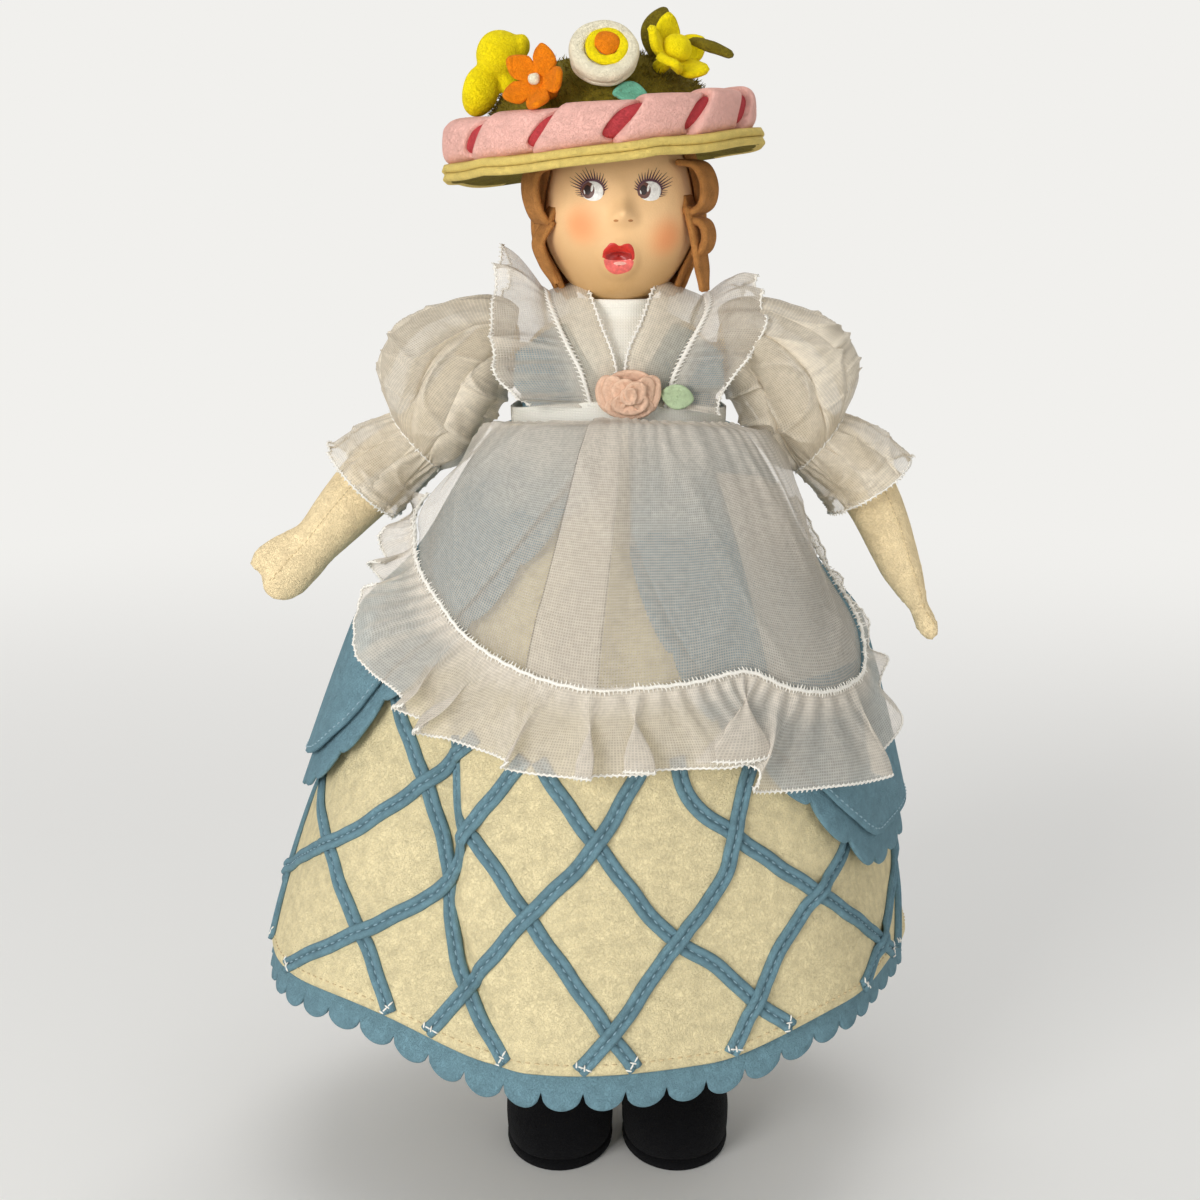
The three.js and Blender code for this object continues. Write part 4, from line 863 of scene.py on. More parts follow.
def over_skirt(turn, share, out):
    """Over the skirt, lying close at the sides of the waist where nothing is under it."""
    turn, share, out = np.broadcast_arrays(turn, share, out)
    lift = np.maximum(smooth(share, 0.15, 0.42), smooth(np.cos(turn), 0.35, 0.68))
    return on_skirt(turn, share, out - (OVER_IN - 0.6) * (1 - lift))


def flat_line(places, radius):
    """A smooth line through turns in degrees and shares of the skirt's length, laid flat at a radius."""
    return dense_curve([(math.radians(turn) * radius, share * BELL_LENGTH) for turn, share in places])


def scallop(place):
    """0 at the notch between scallops and 1 at the middle of each: a row of half rounds."""
    return np.sqrt(np.maximum(1 - (2 * (np.asarray(place) % 1) - 1) ** 2, 0))


def grid(across, down, shape, wrap=False):
    """Points of a sheet: shape takes shares across and down."""
    u = np.linspace(0, 1, across, endpoint=not wrap)
    u, v = np.meshgrid(u, np.linspace(0, 1, down), indexing="ij")
    return shape(u, v)


# The torso's own surface

TORSO = np.array([
    (HIP_Z - 8, TONGUE_HALF - 2, TORSO_HALF_DEPTH - 6), (HIP_Z - 3, TONGUE_HALF, TORSO_HALF_DEPTH - 4),
    (HIP_Z + 10, TONGUE_HALF, TORSO_HALF_DEPTH - 3.5), (HIP_Z + 17, SEAT_HALF - 3, TORSO_HALF_DEPTH - 1.5),
    (HIP_Z + 28, SEAT_HALF, TORSO_HALF_DEPTH), (WAIST_Z - 12, SEAT_HALF, TORSO_HALF_DEPTH),
    (WAIST_Z + 2, WAIST_HALF, TORSO_HALF_DEPTH), (SHOULDER_Z, CHEST_HALF, TORSO_HALF_DEPTH - 0.4),
    (SHOULDER_Z + 4.5, CHEST_HALF - 4, TORSO_HALF_DEPTH - 3), (NECK_Z, NECK_HALF, NECK_HALF - 0.5),
])


def on_torso(turn, z, out):
    turn, z, out = np.broadcast_arrays(turn, z, out)
    half_x, half_y = (np.interp(z, TORSO[:, 0], TORSO[:, k]) for k in (1, 2))
    return np.stack([np.sin(turn) * (half_x + out), -np.cos(turn) * (half_y + out), z], -1)


# The face, seen from the front: the thickness of its paint and the height of its eyes
PAINT = 0.05
EYE_Z = 209.6


def relief(x, z):
    """How far the pressed features stand out from the plain head."""
    nose = 3.0 * bump(x, 0.7, 2.0) * bump(z, 205.2, 2.1) + 0.8 * bump(x, 0.6, 1.6) * bump(z, 208.6, 3.0)
    wings = 0.6 * bump(z, 204.1, 1.1) * (bump(x, -1.4, 1.0) + bump(x, 2.8, 1.0))
    eyes = sum(-0.7 * bump(x, c, 3.4) * bump(z, 209.8, 2.6) + 0.5 * bump(x, c, 2.0) * bump(z, EYE_Z, 1.7)
               for c in (-5.6, 6.1))
    cheeks = 0.6 * bump(z, 201.5, 5.0) * (bump(x, -8.5, 4.5) + bump(x, 9.3, 4.5))
    lips = 0.8 * bump(np.hypot((x + 0.3) / 3.3, (z - 196.0) / 3.4), 0.95, 0.35)
    inside = -1.0 * bump(x, -0.3, 1.9) * bump(z, 197.0, 0.9)
    lower = 0.8 * bump(x, -0.4, 1.9) * bump(z, 194.3, 1.1)
    chin = 0.8 * bump(x, -0.2, 4.2) * bump(z, 189.6, 2.2)
    return nose + wings + eyes + cheeks + lips + inside + lower + chin


def head_outline(up):
    jaw = np.where(up < 0, 1 - 0.06 * up * up, 1.0)
    return jaw * (1 + 0.05 * np.exp(-(((up + 0.35) / 0.25) ** 2)))


def head_point(turn, rise, out, features=False):
    turn, rise = np.broadcast_arrays(turn, rise)
    up, round_ = np.sin(rise), np.cos(rise)
    x = np.sin(turn) * (HEAD_HALF_W + out) * round_ * head_outline(up)
    z = HEAD_Z + up * (HEAD_HALF_H + out)
    y = HEAD_Y - np.cos(turn) * (HEAD_HALF_D + out) * round_
    if features:
        y = y - relief(x, z) * smooth(np.cos(turn), 0.1, 0.5)
    return np.stack([x, y, z], -1)


def face_y(x, z):
    """Where the front of the head is, at a place seen from the front."""
    up = (np.asarray(z, float) - HEAD_Z) / HEAD_HALF_H
    round_ = np.sqrt(np.maximum(1 - up**2, 1e-6))
    sine = np.clip(x / (HEAD_HALF_W * round_ * head_outline(up)), -0.98, 0.98)
    cosine = np.sqrt(1 - sine**2)
    return HEAD_Y - cosine * HEAD_HALF_D * round_ - relief(x, z) * smooth(cosine, 0.1, 0.5)


# The hat's own frame, and the angle from the crown's edge to just short of its top
CROWN_TOP = 1.52
HAT_TURN = spin("X", HAT_NOD) @ spin("Y", -HAT_ROLL)


def on_hat(shell):
    return moved(shell, HAT_TURN, (HAT_X, 0, HAT_Z))


def crown_at(share, radius, height):
    return radius * np.cos(share) ** 0.8, height * np.sin(share)


def stand_on(shell, turn, share, lean=0.0):
    """Stands a flower on the crown, its stalk along the crown's own normal."""
    r, z = crown_at(share, CROWN_R, CROWN_H)
    r_next, z_next = crown_at(share + 0.02, CROWN_R, CROWN_H)
    slope = math.atan2(r - r_next, z_next - z) + lean
    tipped = moved(shell, spin("Y", math.degrees(math.pi / 2 - slope)), (r, 0, z + GAP))
    return on_hat(moved(tipped, spin("Z", turn), (0, 0, 0)))


def arm_line(side):
    start = np.array([side * (CHEST_HALF + GAP), 0, SHOULDER_Z])
    upper, lower = (math.radians(a) for a in ARM_DROOP[side])
    elbow = start + UPPER_ARM * np.array([side * math.cos(upper), 0, -math.sin(upper)])
    tip = elbow + FOREARM[side] * np.array([side * math.cos(lower), 0, -math.sin(lower)])
    tip[1] = -7
    cap = start + [side * 4, 0, 0]
    return dense_curve([start, cap, mix(start, elbow, 0.55), elbow, mix(elbow, tip, 0.55), tip])


def arm_frame(side, shares):
    centre, heading = along(arm_line(side), shares)
    up = unit(np.stack([-heading[:, 2] * side, np.zeros(len(heading)), heading[:, 0] * side], -1))
    return centre, heading, up


def evaluated(piece):
    """A piece's mesh with its modifiers applied."""
    view = bpy.context.evaluated_depsgraph_get()
    return bpy.data.meshes.new_from_object(piece.evaluated_get(view))


def even_skin(piece, voxel):
    """A piece's skin, cut again into small even faces."""
    even = piece.modifiers.new("even", "REMESH")
    even.mode = "VOXEL"
    even.voxel_size = voxel
    fine = evaluated(piece)
    piece.modifiers.clear()
    return fine


def take_skin(piece, skin):
    """Gives a piece a new skin in its own finish."""
    skin.materials.clear()
    for one in piece.data.materials:
        skin.materials.append(one)
    skin.polygons.foreach_set("use_smooth", [True] * len(skin.polygons))
    skin.update()
    piece.data = skin


def joined(piece, voxel_mm):
    """Runs a piece's overlapping skins into one."""
    fine = even_skin(piece, voxel_mm * 0.001)
    work = bmesh.new()
    work.from_mesh(fine)
    for _ in range(4):
        bmesh.ops.smooth_vert(
            work, verts=work.verts, factor=0.5, use_axis_x=True, use_axis_y=True, use_axis_z=True
        )
    work.to_mesh(fine)
    work.free()
    take_skin(piece, fine)


# The filling is worked out on a skin this many times larger, in this many steps
FILL_SCALE = 20.0
FILL_STEPS = 20
FILL_PRESSURE = 4.0


def plump(piece, voxel_mm, cap_mm):
    """Swells a stuffed skin as cloth under the pressure of its filling."""
    scene = bpy.context.scene
    skin = piece.data.copy()
    skin.transform(Matrix.Scale(FILL_SCALE, 4))
    work = bpy.data.objects.new("stuffing_skin", skin)
    scene.collection.objects.link(work)
    work.data = even_skin(work, voxel_mm * 0.001 * FILL_SCALE)
    before = np.array([v.co for v in work.data.vertices])
    cloth = work.modifiers.new("filling", "CLOTH")
    cloth.settings.use_pressure = True
    cloth.settings.uniform_pressure_force = FILL_PRESSURE
    cloth.settings.effector_weights.gravity = 0.0
    cloth.settings.quality = 5
    cloth.collision_settings.use_collision = False
    cloth.point_cache.frame_start = 1
    cloth.point_cache.frame_end = FILL_STEPS
    for step in range(1, FILL_STEPS + 1):
        scene.frame_set(step)
    swollen = evaluated(work)
    shift = np.array([v.co for v in swollen.vertices]) - before
    reach = np.linalg.norm(shift, axis=1, keepdims=True)
    cap = cap_mm * 0.001 * FILL_SCALE
    after = before + shift * np.minimum(1, cap / np.maximum(reach, 1e-9))
    swollen.vertices.foreach_set("co", (after / FILL_SCALE).astype(np.float32).ravel())
    bpy.data.objects.remove(work)
    scene.frame_set(1)
    take_skin(piece, swollen)


def on_skin(piece, points):
    """The nearest places on a finished skin, with its normals, in millimetres."""
    mesh = piece.data
    tree = BVHTree.FromPolygons([v.co for v in mesh.vertices], [p.vertices for p in mesh.polygons])
    places, normals = [], []
    for p in np.asarray(points, float):
        hit, normal, _, _ = tree.find_nearest(Vector((p + MIDDLE) * 0.001))
        places.append(np.array(hit) * 1000 - MIDDLE)
        normals.append(np.array(normal))
    return np.array(places), np.array(normals)


class DollTorso(bpy.types.Operator):
    """Stuffed calico torso, the cords the limbs turn on and the neck peg"""

    bl_idname = "doll.torso"
    bl_label = "Torso"

    def execute(self, context):
        spans = zip(TORSO[:-1, 0], TORSO[1:, 0])
        heights = np.concatenate([*[np.linspace(a, b, 4)[:-1] for a, b in spans], [NECK_Z]])
        rings = [on_torso(circle(40), z, -0.35) for z in heights]
        torso = make("stuffed_torso", loft(rings), "calico")
        plump(torso, 1.8, 0.25)
        wear(torso, "torso_body", "calico", "torso")
        cords = (("shoulder_cord", SHOULDER_Z, CHEST_HALF + 7), ("hip_cord", HIP_Z, TONGUE_HALF + 9.4))
        for name, z, half in cords:
            x = np.linspace(-half, half, 60)
            plies = []
            # The three plies lie a third of a turn apart
            for apart in (0, 2.094, 4.188):
                turn = x * 1.3 + apart
                path = np.stack([x, 0.55 * np.cos(turn), z + 0.55 * np.sin(turn)], -1)
                plies.append(rope(path, 0.58, 6))
            sew("torso_body", f"twisted_{name}", merged(*plies), "cream_thread", name)
        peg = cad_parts["neck_peg"]
        peg.data.materials.clear()
        peg.data.materials.append(finish_of("beech"))
        return {"FINISHED"}


class DollLegs(bpy.types.Operator):
    """Stuffed felt legs with black felt boots and soles"""

    bl_idname = "doll.legs"
    bl_label = "Legs and boots"

    def execute(self, context):
        for side, word in SIDES:
            self.leg(side, word)
            self.boot(side * LEG_X, word)
            self.sole(side * LEG_X, word)
        return {"FINISHED"}

    def leg(self, side, word):
        """A stuffed leg, narrowed at its top to fit beside the torso's tongue."""
        x, top_x = side * LEG_X, side * (TONGUE_HALF + GAP + LEG_TOP_HALF)
        rows = np.array([
            (SOLE_T + INSTEP_Z - 1, x, LEG_R - 0.6, LEG_R - 0.6), (BOOT_HEIGHT, x, LEG_R, LEG_R),
            (HIP_Z - 36, x, LEG_R + 0.6, LEG_R + 1), (HIP_Z - 20, x, LEG_R + 0.5, LEG_R + 1.2),
            (HIP_Z - 12, mix(x, top_x, 0.6), LEG_TOP_HALF + 1.4, LEG_R + 0.6),
            (HIP_Z - 7, top_x, LEG_TOP_HALF, LEG_R), (HIP_Z + 4, top_x, LEG_TOP_HALF, LEG_R - 1),
            (HIP_Z + 7, top_x, LEG_TOP_HALF - 1.4, LEG_R - 3.6),
        ])
        fine = np.linspace(0, len(rows) - 1, 36)
        pick = [np.interp(fine, np.arange(len(rows)), column) for column in rows.T]
        rings = [ring(middle, 0, z, a - 0.3, b - 0.3, 28) for z, middle, a, b in zip(*pick)]
        leg = make(f"stuffed_{word}_leg", loft(rings), "arm_felt")
        plump(leg, 1.6, 0.2)
        wear(leg, f"{word}_leg_body", "arm_felt", f"{word}_leg")

    def boot(self, x, word):
        """A soft felt boot with a cuff turned in at its top and a seam up its back."""
        body = f"{word}_leg_body"
        shaft = LEG_R + GAP + FELT
        # From the sole up: toe, heel, half width and height
        rows = [
            (TOE_Y + 1.6, HEEL_Y - 0.8, BOOT_HALF_W - 1.2, SOLE_T + 0.05),
            (TOE_Y + 0.7, HEEL_Y - 0.4, BOOT_HALF_W - 0.4, SOLE_T + 0.9),
            (TOE_Y + 0.1, HEEL_Y, BOOT_HALF_W, SOLE_T + INSTEP_Z * 0.28),
            (TOE_Y + 1.2, HEEL_Y, BOOT_HALF_W, SOLE_T + INSTEP_Z * 0.6),
            (TOE_Y + 4.6, HEEL_Y - 0.2, BOOT_HALF_W - 0.7, SOLE_T + INSTEP_Z * 0.9),
            (TOE_Y + 9.6, HEEL_Y - 0.4, BOOT_HALF_W - 1.4, SOLE_T + INSTEP_Z * 1.15),
            (-shaft - 1.6, shaft + 0.5, shaft + 0.4, SOLE_T + INSTEP_Z + 6),
            (-shaft - 0.3, shaft + 0.1, shaft, SOLE_T + INSTEP_Z + 12),
            (-shaft, shaft, shaft, BOOT_HEIGHT),
        ]
        line = dense_curve(rows)
        around = circle(44)
        rings = []
        for front, back, half, z in line[np.linspace(0, len(line) - 1, 34).astype(int)]:
            wide = half * (1 + 0.06 * np.clip(-np.sin(around), 0, 1) * smooth(z, 20, 8))
            wrinkle = 0.22 * np.sin(z * 1.1 + 1.5 * np.sin(around)) * smooth(z, 15, 26) * smooth(z, 44, 34)
            rings.append(np.stack([
                x + (wide + wrinkle) * squared(around, 0.86)[0],
                (front + back) / 2 + ((back - front) / 2 + wrinkle) * np.sin(around),
                np.full(len(around), z),
            ], -1))
        boot = sew(body, f"felt_{word}_boot", loft(rings), "black_felt", f"{word}_boot")
        inner = [mix(rings[-1], [x, 0, BOOT_HEIGHT], 0.13) + [0, 0, dz] for dz in (0.35, -6.0)]
        cuff = np.swapaxes(np.array([rings[-1], *inner]), 0, 1)
        sew(body, f"{word}_boot_cuff", felt_layer(cuff, 0.5, True), "black_felt")
        guide = [(x, HEEL_Y + 0.1 - 0.02 * (z - 8), z) for z in np.arange(6, 43, 1.6)]
        spots, normals = on_skin(boot, guide)
        seam = sewn(spots, np.tile([0, 0, 1.0], (len(spots), 1)), normals, 1.0, 0.2)
        sew(body, f"{word}_boot_seam", seam, "black_felt")

    def sole(self, x, word):
        """A thick felt sole, its edges rubbed round."""
        heel = HEEL_Y + 0.6
        # Heights, and how far the edge is rubbed in at each
        outline = [(0.0, 0.5), (0.25, 0.1), (0.7, 0.0), (1.3, 0.0), (1.75, 0.15), (2.0, 0.6)]
        middle_y, half = (TOE_Y + heel) / 2, (heel - TOE_Y) / 2
        rings = [ring(x, middle_y, z, BOOT_HALF_W - rub, half - rub, 48) for z, rub in outline]
        sew(f"{word}_leg_body", f"felt_{word}_sole", loft(rings), "black_felt", f"{word}_sole")


# Each arm's half thickness at shares of its length: the left one ends slim, the right one in a mitten
ARM_TOP = [(0, 4.2), (0.015, 5.2), (0.06, ARM_R), (0.25, ARM_R)]
ARM_HALVES = {
    1: ARM_TOP + [
        (0.42, 7.0), (0.55, 6.5), (0.7, 5.6), (0.8, 4.8), (0.87, 3.6), (0.9, 2.8), (0.95, 3.0), (0.985, 2.2),
        (1, 0.8),
    ],
    -1: ARM_TOP + [
        (0.45, 7.2), (0.58, FOREARM_R), (0.7, 6.6), (0.8, 5.7), (0.87, 5.9), (0.93, 5.7), (0.965, 4.7),
        (0.988, 3.1), (1, 1.2),
    ],
}


class DollArms(bpy.types.Operator):
    """Stuffed felt arms with mitten hands and a sewn seam"""

    bl_idname = "doll.arms"
    bl_label = "Arms"

    def execute(self, context):
        for side, word in SIDES:
            body = f"{word}_arm_body"
            shares = np.linspace(0, 1, 60)
            radius = np.interp(shares, *zip(*ARM_HALVES[side])) - 0.25
            centre, _, up = arm_frame(side, shares)
            turn = circle(32)
            depth = radius * (1 - 0.3 * smooth(shares, 0.72, 0.88))
            rings = centre[:, None] + (radius[:, None] * np.cos(turn))[..., None] * up[:, None]
            rings[..., 1] += depth[:, None] * np.sin(turn)
            skins = [loft(rings)]
            if side < 0:
                skins.append(self.thumb(side))
            arm = make(f"stuffed_{word}_arm", merged(*skins), "arm_felt")
            joined(arm, 0.55)
            plump(arm, 1.1, 0.35)
            wear(arm, body, "arm_felt", f"{word}_arm")

            seam_turn = 1.15 if side < 0 else 1.0
            centre, heading, up = arm_frame(side, np.linspace(0.5, 0.95, 34))
            guide = centre + up * 6 * math.cos(seam_turn) + np.array([0, -7.0 * math.sin(seam_turn), 0])
            spots, normals = on_skin(arm, guide)
            sew(body, f"{word}_arm_seam", sewn(spots, heading, normals, 0.95, 0.13), "cream_thread")
        return {"FINISHED"}

    def thumb(self, side):
        """A short thumb along the upper edge of the mitten."""
        palm, _, over = arm_frame(side, np.array([0.80, 0.86, 0.92, 0.975]))
        line = dense_curve(palm + over * np.array([2.6, 4.4, 5.8, 6.6])[:, None])
        t = np.linspace(0, 1, 16)
        thick = 2.9 * np.sqrt(np.clip(1 - (np.clip(t - 0.55, 0, 1) / 0.46) ** 2, 0.01, 1))
        return rope(along(line, t)[0], thick, 16)


class DollBodice(bpy.types.Operator):
    """Blue felt bodice with a V that shows the white blouse, and the waistband"""

    bl_idname = "doll.bodice"
    bl_label = "Bodice"

    def execute(self, context):
        low, high = WAIST_Z + 1.2, SHOULDER_Z + 5.5
        apex = WAIST_Z + 3

        def opening(z):
            return np.maximum(z - apex, 0) * 0.61

        def panel(u, v):
            z = mix(low, high, v)
            half_x = np.interp(z, TORSO[:, 0], TORSO[:, 1]) + GAP + THIN_FELT
            start = np.arcsin(np.clip(opening(z) / half_x, 0, 0.9))
            turn = mix(start, math.tau - start, u)
            spread = 3.0 * smooth(np.abs(np.sin(turn)), 0.5, 0.85) * smooth(np.cos(turn), 0.1, 0.45)
            spread = spread * smooth(z, 184, 176) * smooth(z, 166, 170)
            return on_torso(turn, z, GAP + THIN_FELT + spread)

        bodice = make("felt_bodice", cloth_layer(grid(140, 34, panel)), "blue_felt")
        armholes(bodice)
        wear(bodice, "torso_body", "blue_felt", "bodice")

        def inset(u, v):
            z = mix(apex + 0.6, NECK_Z + 3.1, v)
            half_x = np.interp(z, TORSO[:, 0], TORSO[:, 1])
            reach = np.arcsin(np.clip((opening(z) + 2.2) / half_x, 0, 0.95))
            crease = 0.05 * np.sin(u * 9 + 4 * v) + 1.6 * smooth(z, NECK_Z - 2.5, NECK_Z + 2.5)
            return on_torso(mix(-reach, reach, u), z, GAP + 0.25 + crease)

        points = grid(30, 24, inset)
        blouse = sew("torso_body", "blouse_inset", felt_layer(points, 0.25), "white_cotton", "blouse_front")

        def band(u, v):
            tuck = 0.12 * np.sin(u * 60) * np.sin(math.pi * v)
            dip = 3 * np.sin(u * math.tau) ** 2
            return on_torso(u * math.tau, mix(WAIST_Z + 0.4, WAIST_Z + 5.6, v) - dip, 3.0 + tuck)

        points = grid(160, 9, band, True)
        layer = felt_layer(points, 0.7, True)
        waistband = sew("torso_body", "cotton_waistband", layer, "white_cotton", "waistband")
        return {"FINISHED"}


def armholes(piece):
    """Cuts the round armholes out of the bodice."""
    work = bmesh.new()
    work.from_mesh(piece.data)
    gone = []
    for face in work.faces:
        p = np.array(face.calc_center_median()) * 1000 - MIDDLE
        if math.hypot(p[1], p[2] - SHOULDER_Z) < ARM_R + 3 and abs(p[0]) > 8:
            gone.append(face)
    bmesh.ops.delete(work, geom=gone, context="FACES")
    bmesh.ops.recalc_face_normals(work, faces=work.faces)
    bmesh.ops.solidify(work, geom=work.faces[:], thickness=THIN_FELT / 1000)
    bmesh.ops.recalc_face_normals(work, faces=work.faces)
    work.to_mesh(piece.data)
    work.free()


class DollSkirt(bpy.types.Operator):
    """Cream felt bell skirt with its hem stitching, over a scalloped blue hem band"""

    bl_idname = "doll.skirt"
    bl_label = "Skirt and hem band"

    def execute(self, context):
        points = grid(300, 90, lambda u, v: on_skirt(u * math.tau, v * HEM_SHARE, 0.0), True)
        skirt = sew("torso_body", "felt_skirt", felt_layer(points, FELT, True), "cream_felt", "skirt")

        line = on_skirt(np.linspace(0, math.tau, 1200), HEM_SHARE - 1.9 / BELL_LENGTH, 0.05)
        sew("torso_body", "hem_stitching", running_stitch(line, 8, 0), "cream_thread")

        scallops = size("hem_scallops")

        def band(u, v):
            tip = size("scallop_depth") / BELL_LENGTH * (1 - scallop(u * scallops))
            wave = 0.35 * np.sin(u * math.tau * 9 + 1) * v
            share = mix(1 - BAND_WIDTH / BELL_LENGTH, 1 - tip, v)
            return on_skirt(u * math.tau, share, wave * 0.3 - FELT - GAP - 0.3)

        points = grid(scallops * SCALLOP_STEPS, 9, band, True)
        layer = felt_layer(points, THIN_FELT, True)
        hem = sew("torso_body", "scalloped_hem_band", layer, "blue_felt", "hem_band")
        return {"FINISHED"}


# Degrees from one strip to the next at the back, and the share of the skirt's length where strips start
BACK_PITCH = 25.4
STRIP_FOOT = 0.941
# Strips seen at the front, each as turns in degrees and shares of the skirt's length, from the hem up
RISING = [
    [(-61.5, STRIP_FOOT), (-44, 0.83), (-35, 0.763), (-31, 0.729), (-25.5, 0.616), (-16.5, 0.508)],
    [(-108, STRIP_FOOT), (-74, 0.783), (-56, 0.7), (-45, 0.623), (-28.5, 0.492)],
    [(-28, STRIP_FOOT), (-14, 0.75), (-2, 0.639), (8, 0.512)],
    [(-1, STRIP_FOOT), (5, 0.879), (13, 0.784), (17, 0.749), (24.5, 0.68), (27.5, 0.607), (33, 0.51)],
    [(24.5, STRIP_FOOT), (30.5, 0.866), (36, 0.806), (44.5, 0.756), (52, 0.725), (58, 0.689), (72, 0.6)],
    [(55, STRIP_FOOT), (62.5, 0.914), (73, 0.883), (78, 0.853), (90, 0.8), (104, 0.7)],
]
FALLING = [
    [(-35.5, STRIP_FOOT), (-42, 0.868), (-49, 0.812), (-61, 0.727), (-76, 0.669), (-98, 0.58)],
    [(-13, STRIP_FOOT), (-23, 0.86), (-27, 0.814), (-30, 0.753), (-32, 0.697), (-36, 0.64),
     (-43, 0.566), (-55, 0.46)],
    [(8, STRIP_FOOT), (-3.5, 0.811), (-14, 0.713), (-24, 0.643), (-31, 0.613), (-35.2, 0.505)],
    [(36, STRIP_FOOT), (29, 0.875), (23, 0.815), (13, 0.754), (1, 0.639), (-13.5, 0.51)],
    [(75, STRIP_FOOT), (61, 0.858), (44.5, 0.756), (26, 0.622), (17.5, 0.566), (15, 0.505)],
]
# Half of a strip's section, from its edge to its middle fold: shares of its half width and of its height
STRIP_HALF = [(-1, 0.0), (-0.98, 0.35), (-0.84, 0.8), (-0.58, 1.0), (-0.32, 0.92), (-0.13, 0.62), (0, 0.42)]


def back_strip(start, lean):
    """A strip round the side or back, leaning evenly from the hem up to under the overskirt."""
    return [(start + lean * STRIP_LEAN * rise, STRIP_FOOT - rise) for rise in (0, 0.09, 0.18, 0.28)]


class DollLattice(bpy.types.Operator):
    """Folded blue felt strips that cross over the skirt, sewn down their middles"""

    bl_idname = "doll.lattice"
    bl_label = "Lattice strips"

    def execute(self, context):
        width, height = size("strip_width"), size("strip_height")
        profile = np.array(STRIP_HALF + [(-x, rise) for x, rise in STRIP_HALF[-2::-1]])
        behind = [back_strip(106 + k * BACK_PITCH, -1) for k in range(8)]
        under = [curve_on_skirt(strip) for strip in FALLING + behind]
        behind = [back_strip(78 + k * BACK_PITCH, 1) for k in range(7)]
        over = [curve_on_skirt(strip) for strip in RISING + behind]
        crossed = np.vstack([skirt_point(*line.T) for line in under])
        shells, weaves, sewing, tacks = [], [], [], []
        for line, top in [(one, False) for one in under] + [(one, True) for one in over]:
            turn, share = line.T
            here = skirt_point(turn, share)
            normal = skirt_normal(turn, share)
            heading = unit(np.gradient(here, axis=0))
            across = unit(np.cross(heading, normal))
            rise = np.zeros(len(here))
            if top:
                near = np.min(np.linalg.norm(here[:, None] - crossed[None, ::2], axis=2), axis=1)
                rise = height * 0.85 * smooth(near, 3.8, 1.2)
            base = 0.02 + rise
            wobble = 0.12 * np.sin(np.arange(len(here)) * 0.7)
            side = profile[:, 0] * width / 2
            points = here[:, None] + across[:, None] * (side[None, :] + wobble[:, None])[..., None]
            points = points + normal[:, None] * (base[:, None] + profile[None, :, 1] * height)[..., None]
            shells.append(loft(points))
            # Distance from the middle fold, where the finish paints shade into the groove
            mark = np.stack(np.broadcast_arrays(np.arange(len(here))[:, None], np.abs(side)[None, :]), -1)
            weaves.append(np.swapaxes(mark, 0, 1).reshape(-1, 2))
            sewing.append(running_stitch(here + normal * (base + 0.5 * height)[:, None], normal))
            for k in range(4):
                spot = here[0] + heading[0] * (0.7 + 0.3 * k) + across[0] * (k - 1.5) * width * 0.24
                lean = across[0] * (1 if k % 2 else 0.5) + heading[0] * (0.4 if k % 2 else -0.6)
                tacks.append((spot + normal[0] * (base[0] + height * 0.85), lean, normal[0]))
        lattice, weave = merged(*shells), np.vstack(weaves)
        sew("torso_body", "folded_lattice", lattice, "folded_blue_felt", "skirt_lattice", weave=weave)
        sew("torso_body", "lattice_stitching", merged(*sewing), "blue_thread")
        centres, leans, ups = (np.array(v) for v in zip(*tacks))
        sew("torso_body", "lattice_tacking", sewn(centres, leans, ups, 1.5, 0.2), "white_thread")
        return {"FINISHED"}


def curve_on_skirt(places):
    """A strip's middle line as turns and shares, every 1.2 millimetres."""
    line = flat_line(places, FLAT_SKIRT_R)
    count = max(int(length_along(line) / 1.2), 8)
    return along(line, np.linspace(0, 1, count))[0] / [FLAT_SKIRT_R, BELL_LENGTH]


# The overskirt's lower edge to each side of its opening: degrees from the front, share of the skirt's length
OVER_LEFT = [
    (0, 0.12), (1, 0.17), (4, 0.226), (12, 0.34), (17, 0.401), (28, 0.5), (40, 0.585), (48.5, 0.665),
    (61, 0.745), (80, 0.745),
]
OVER_RIGHT = [
    (0, 0.07), (7, 0.11), (15, 0.155), (23, 0.211), (35, 0.324), (41, 0.385), (48, 0.43), (54, 0.466),
    (60, 0.552), (73, 0.642), (90, 0.68),
]


def over_edge(turn):
    """Share of the skirt's length at which the overskirt ends, dipping from its front opening to the back."""
    degrees = np.degrees(turn)
    left = np.interp(degrees, *zip(*OVER_LEFT))
    right = np.interp(360 - degrees, *zip(*OVER_RIGHT))
    left = mix(left, 0.7, smooth(degrees, 80, 170))
    right = mix(0.7, right, smooth(degrees, 190, 280))
    return np.where(degrees < 180, left, right)


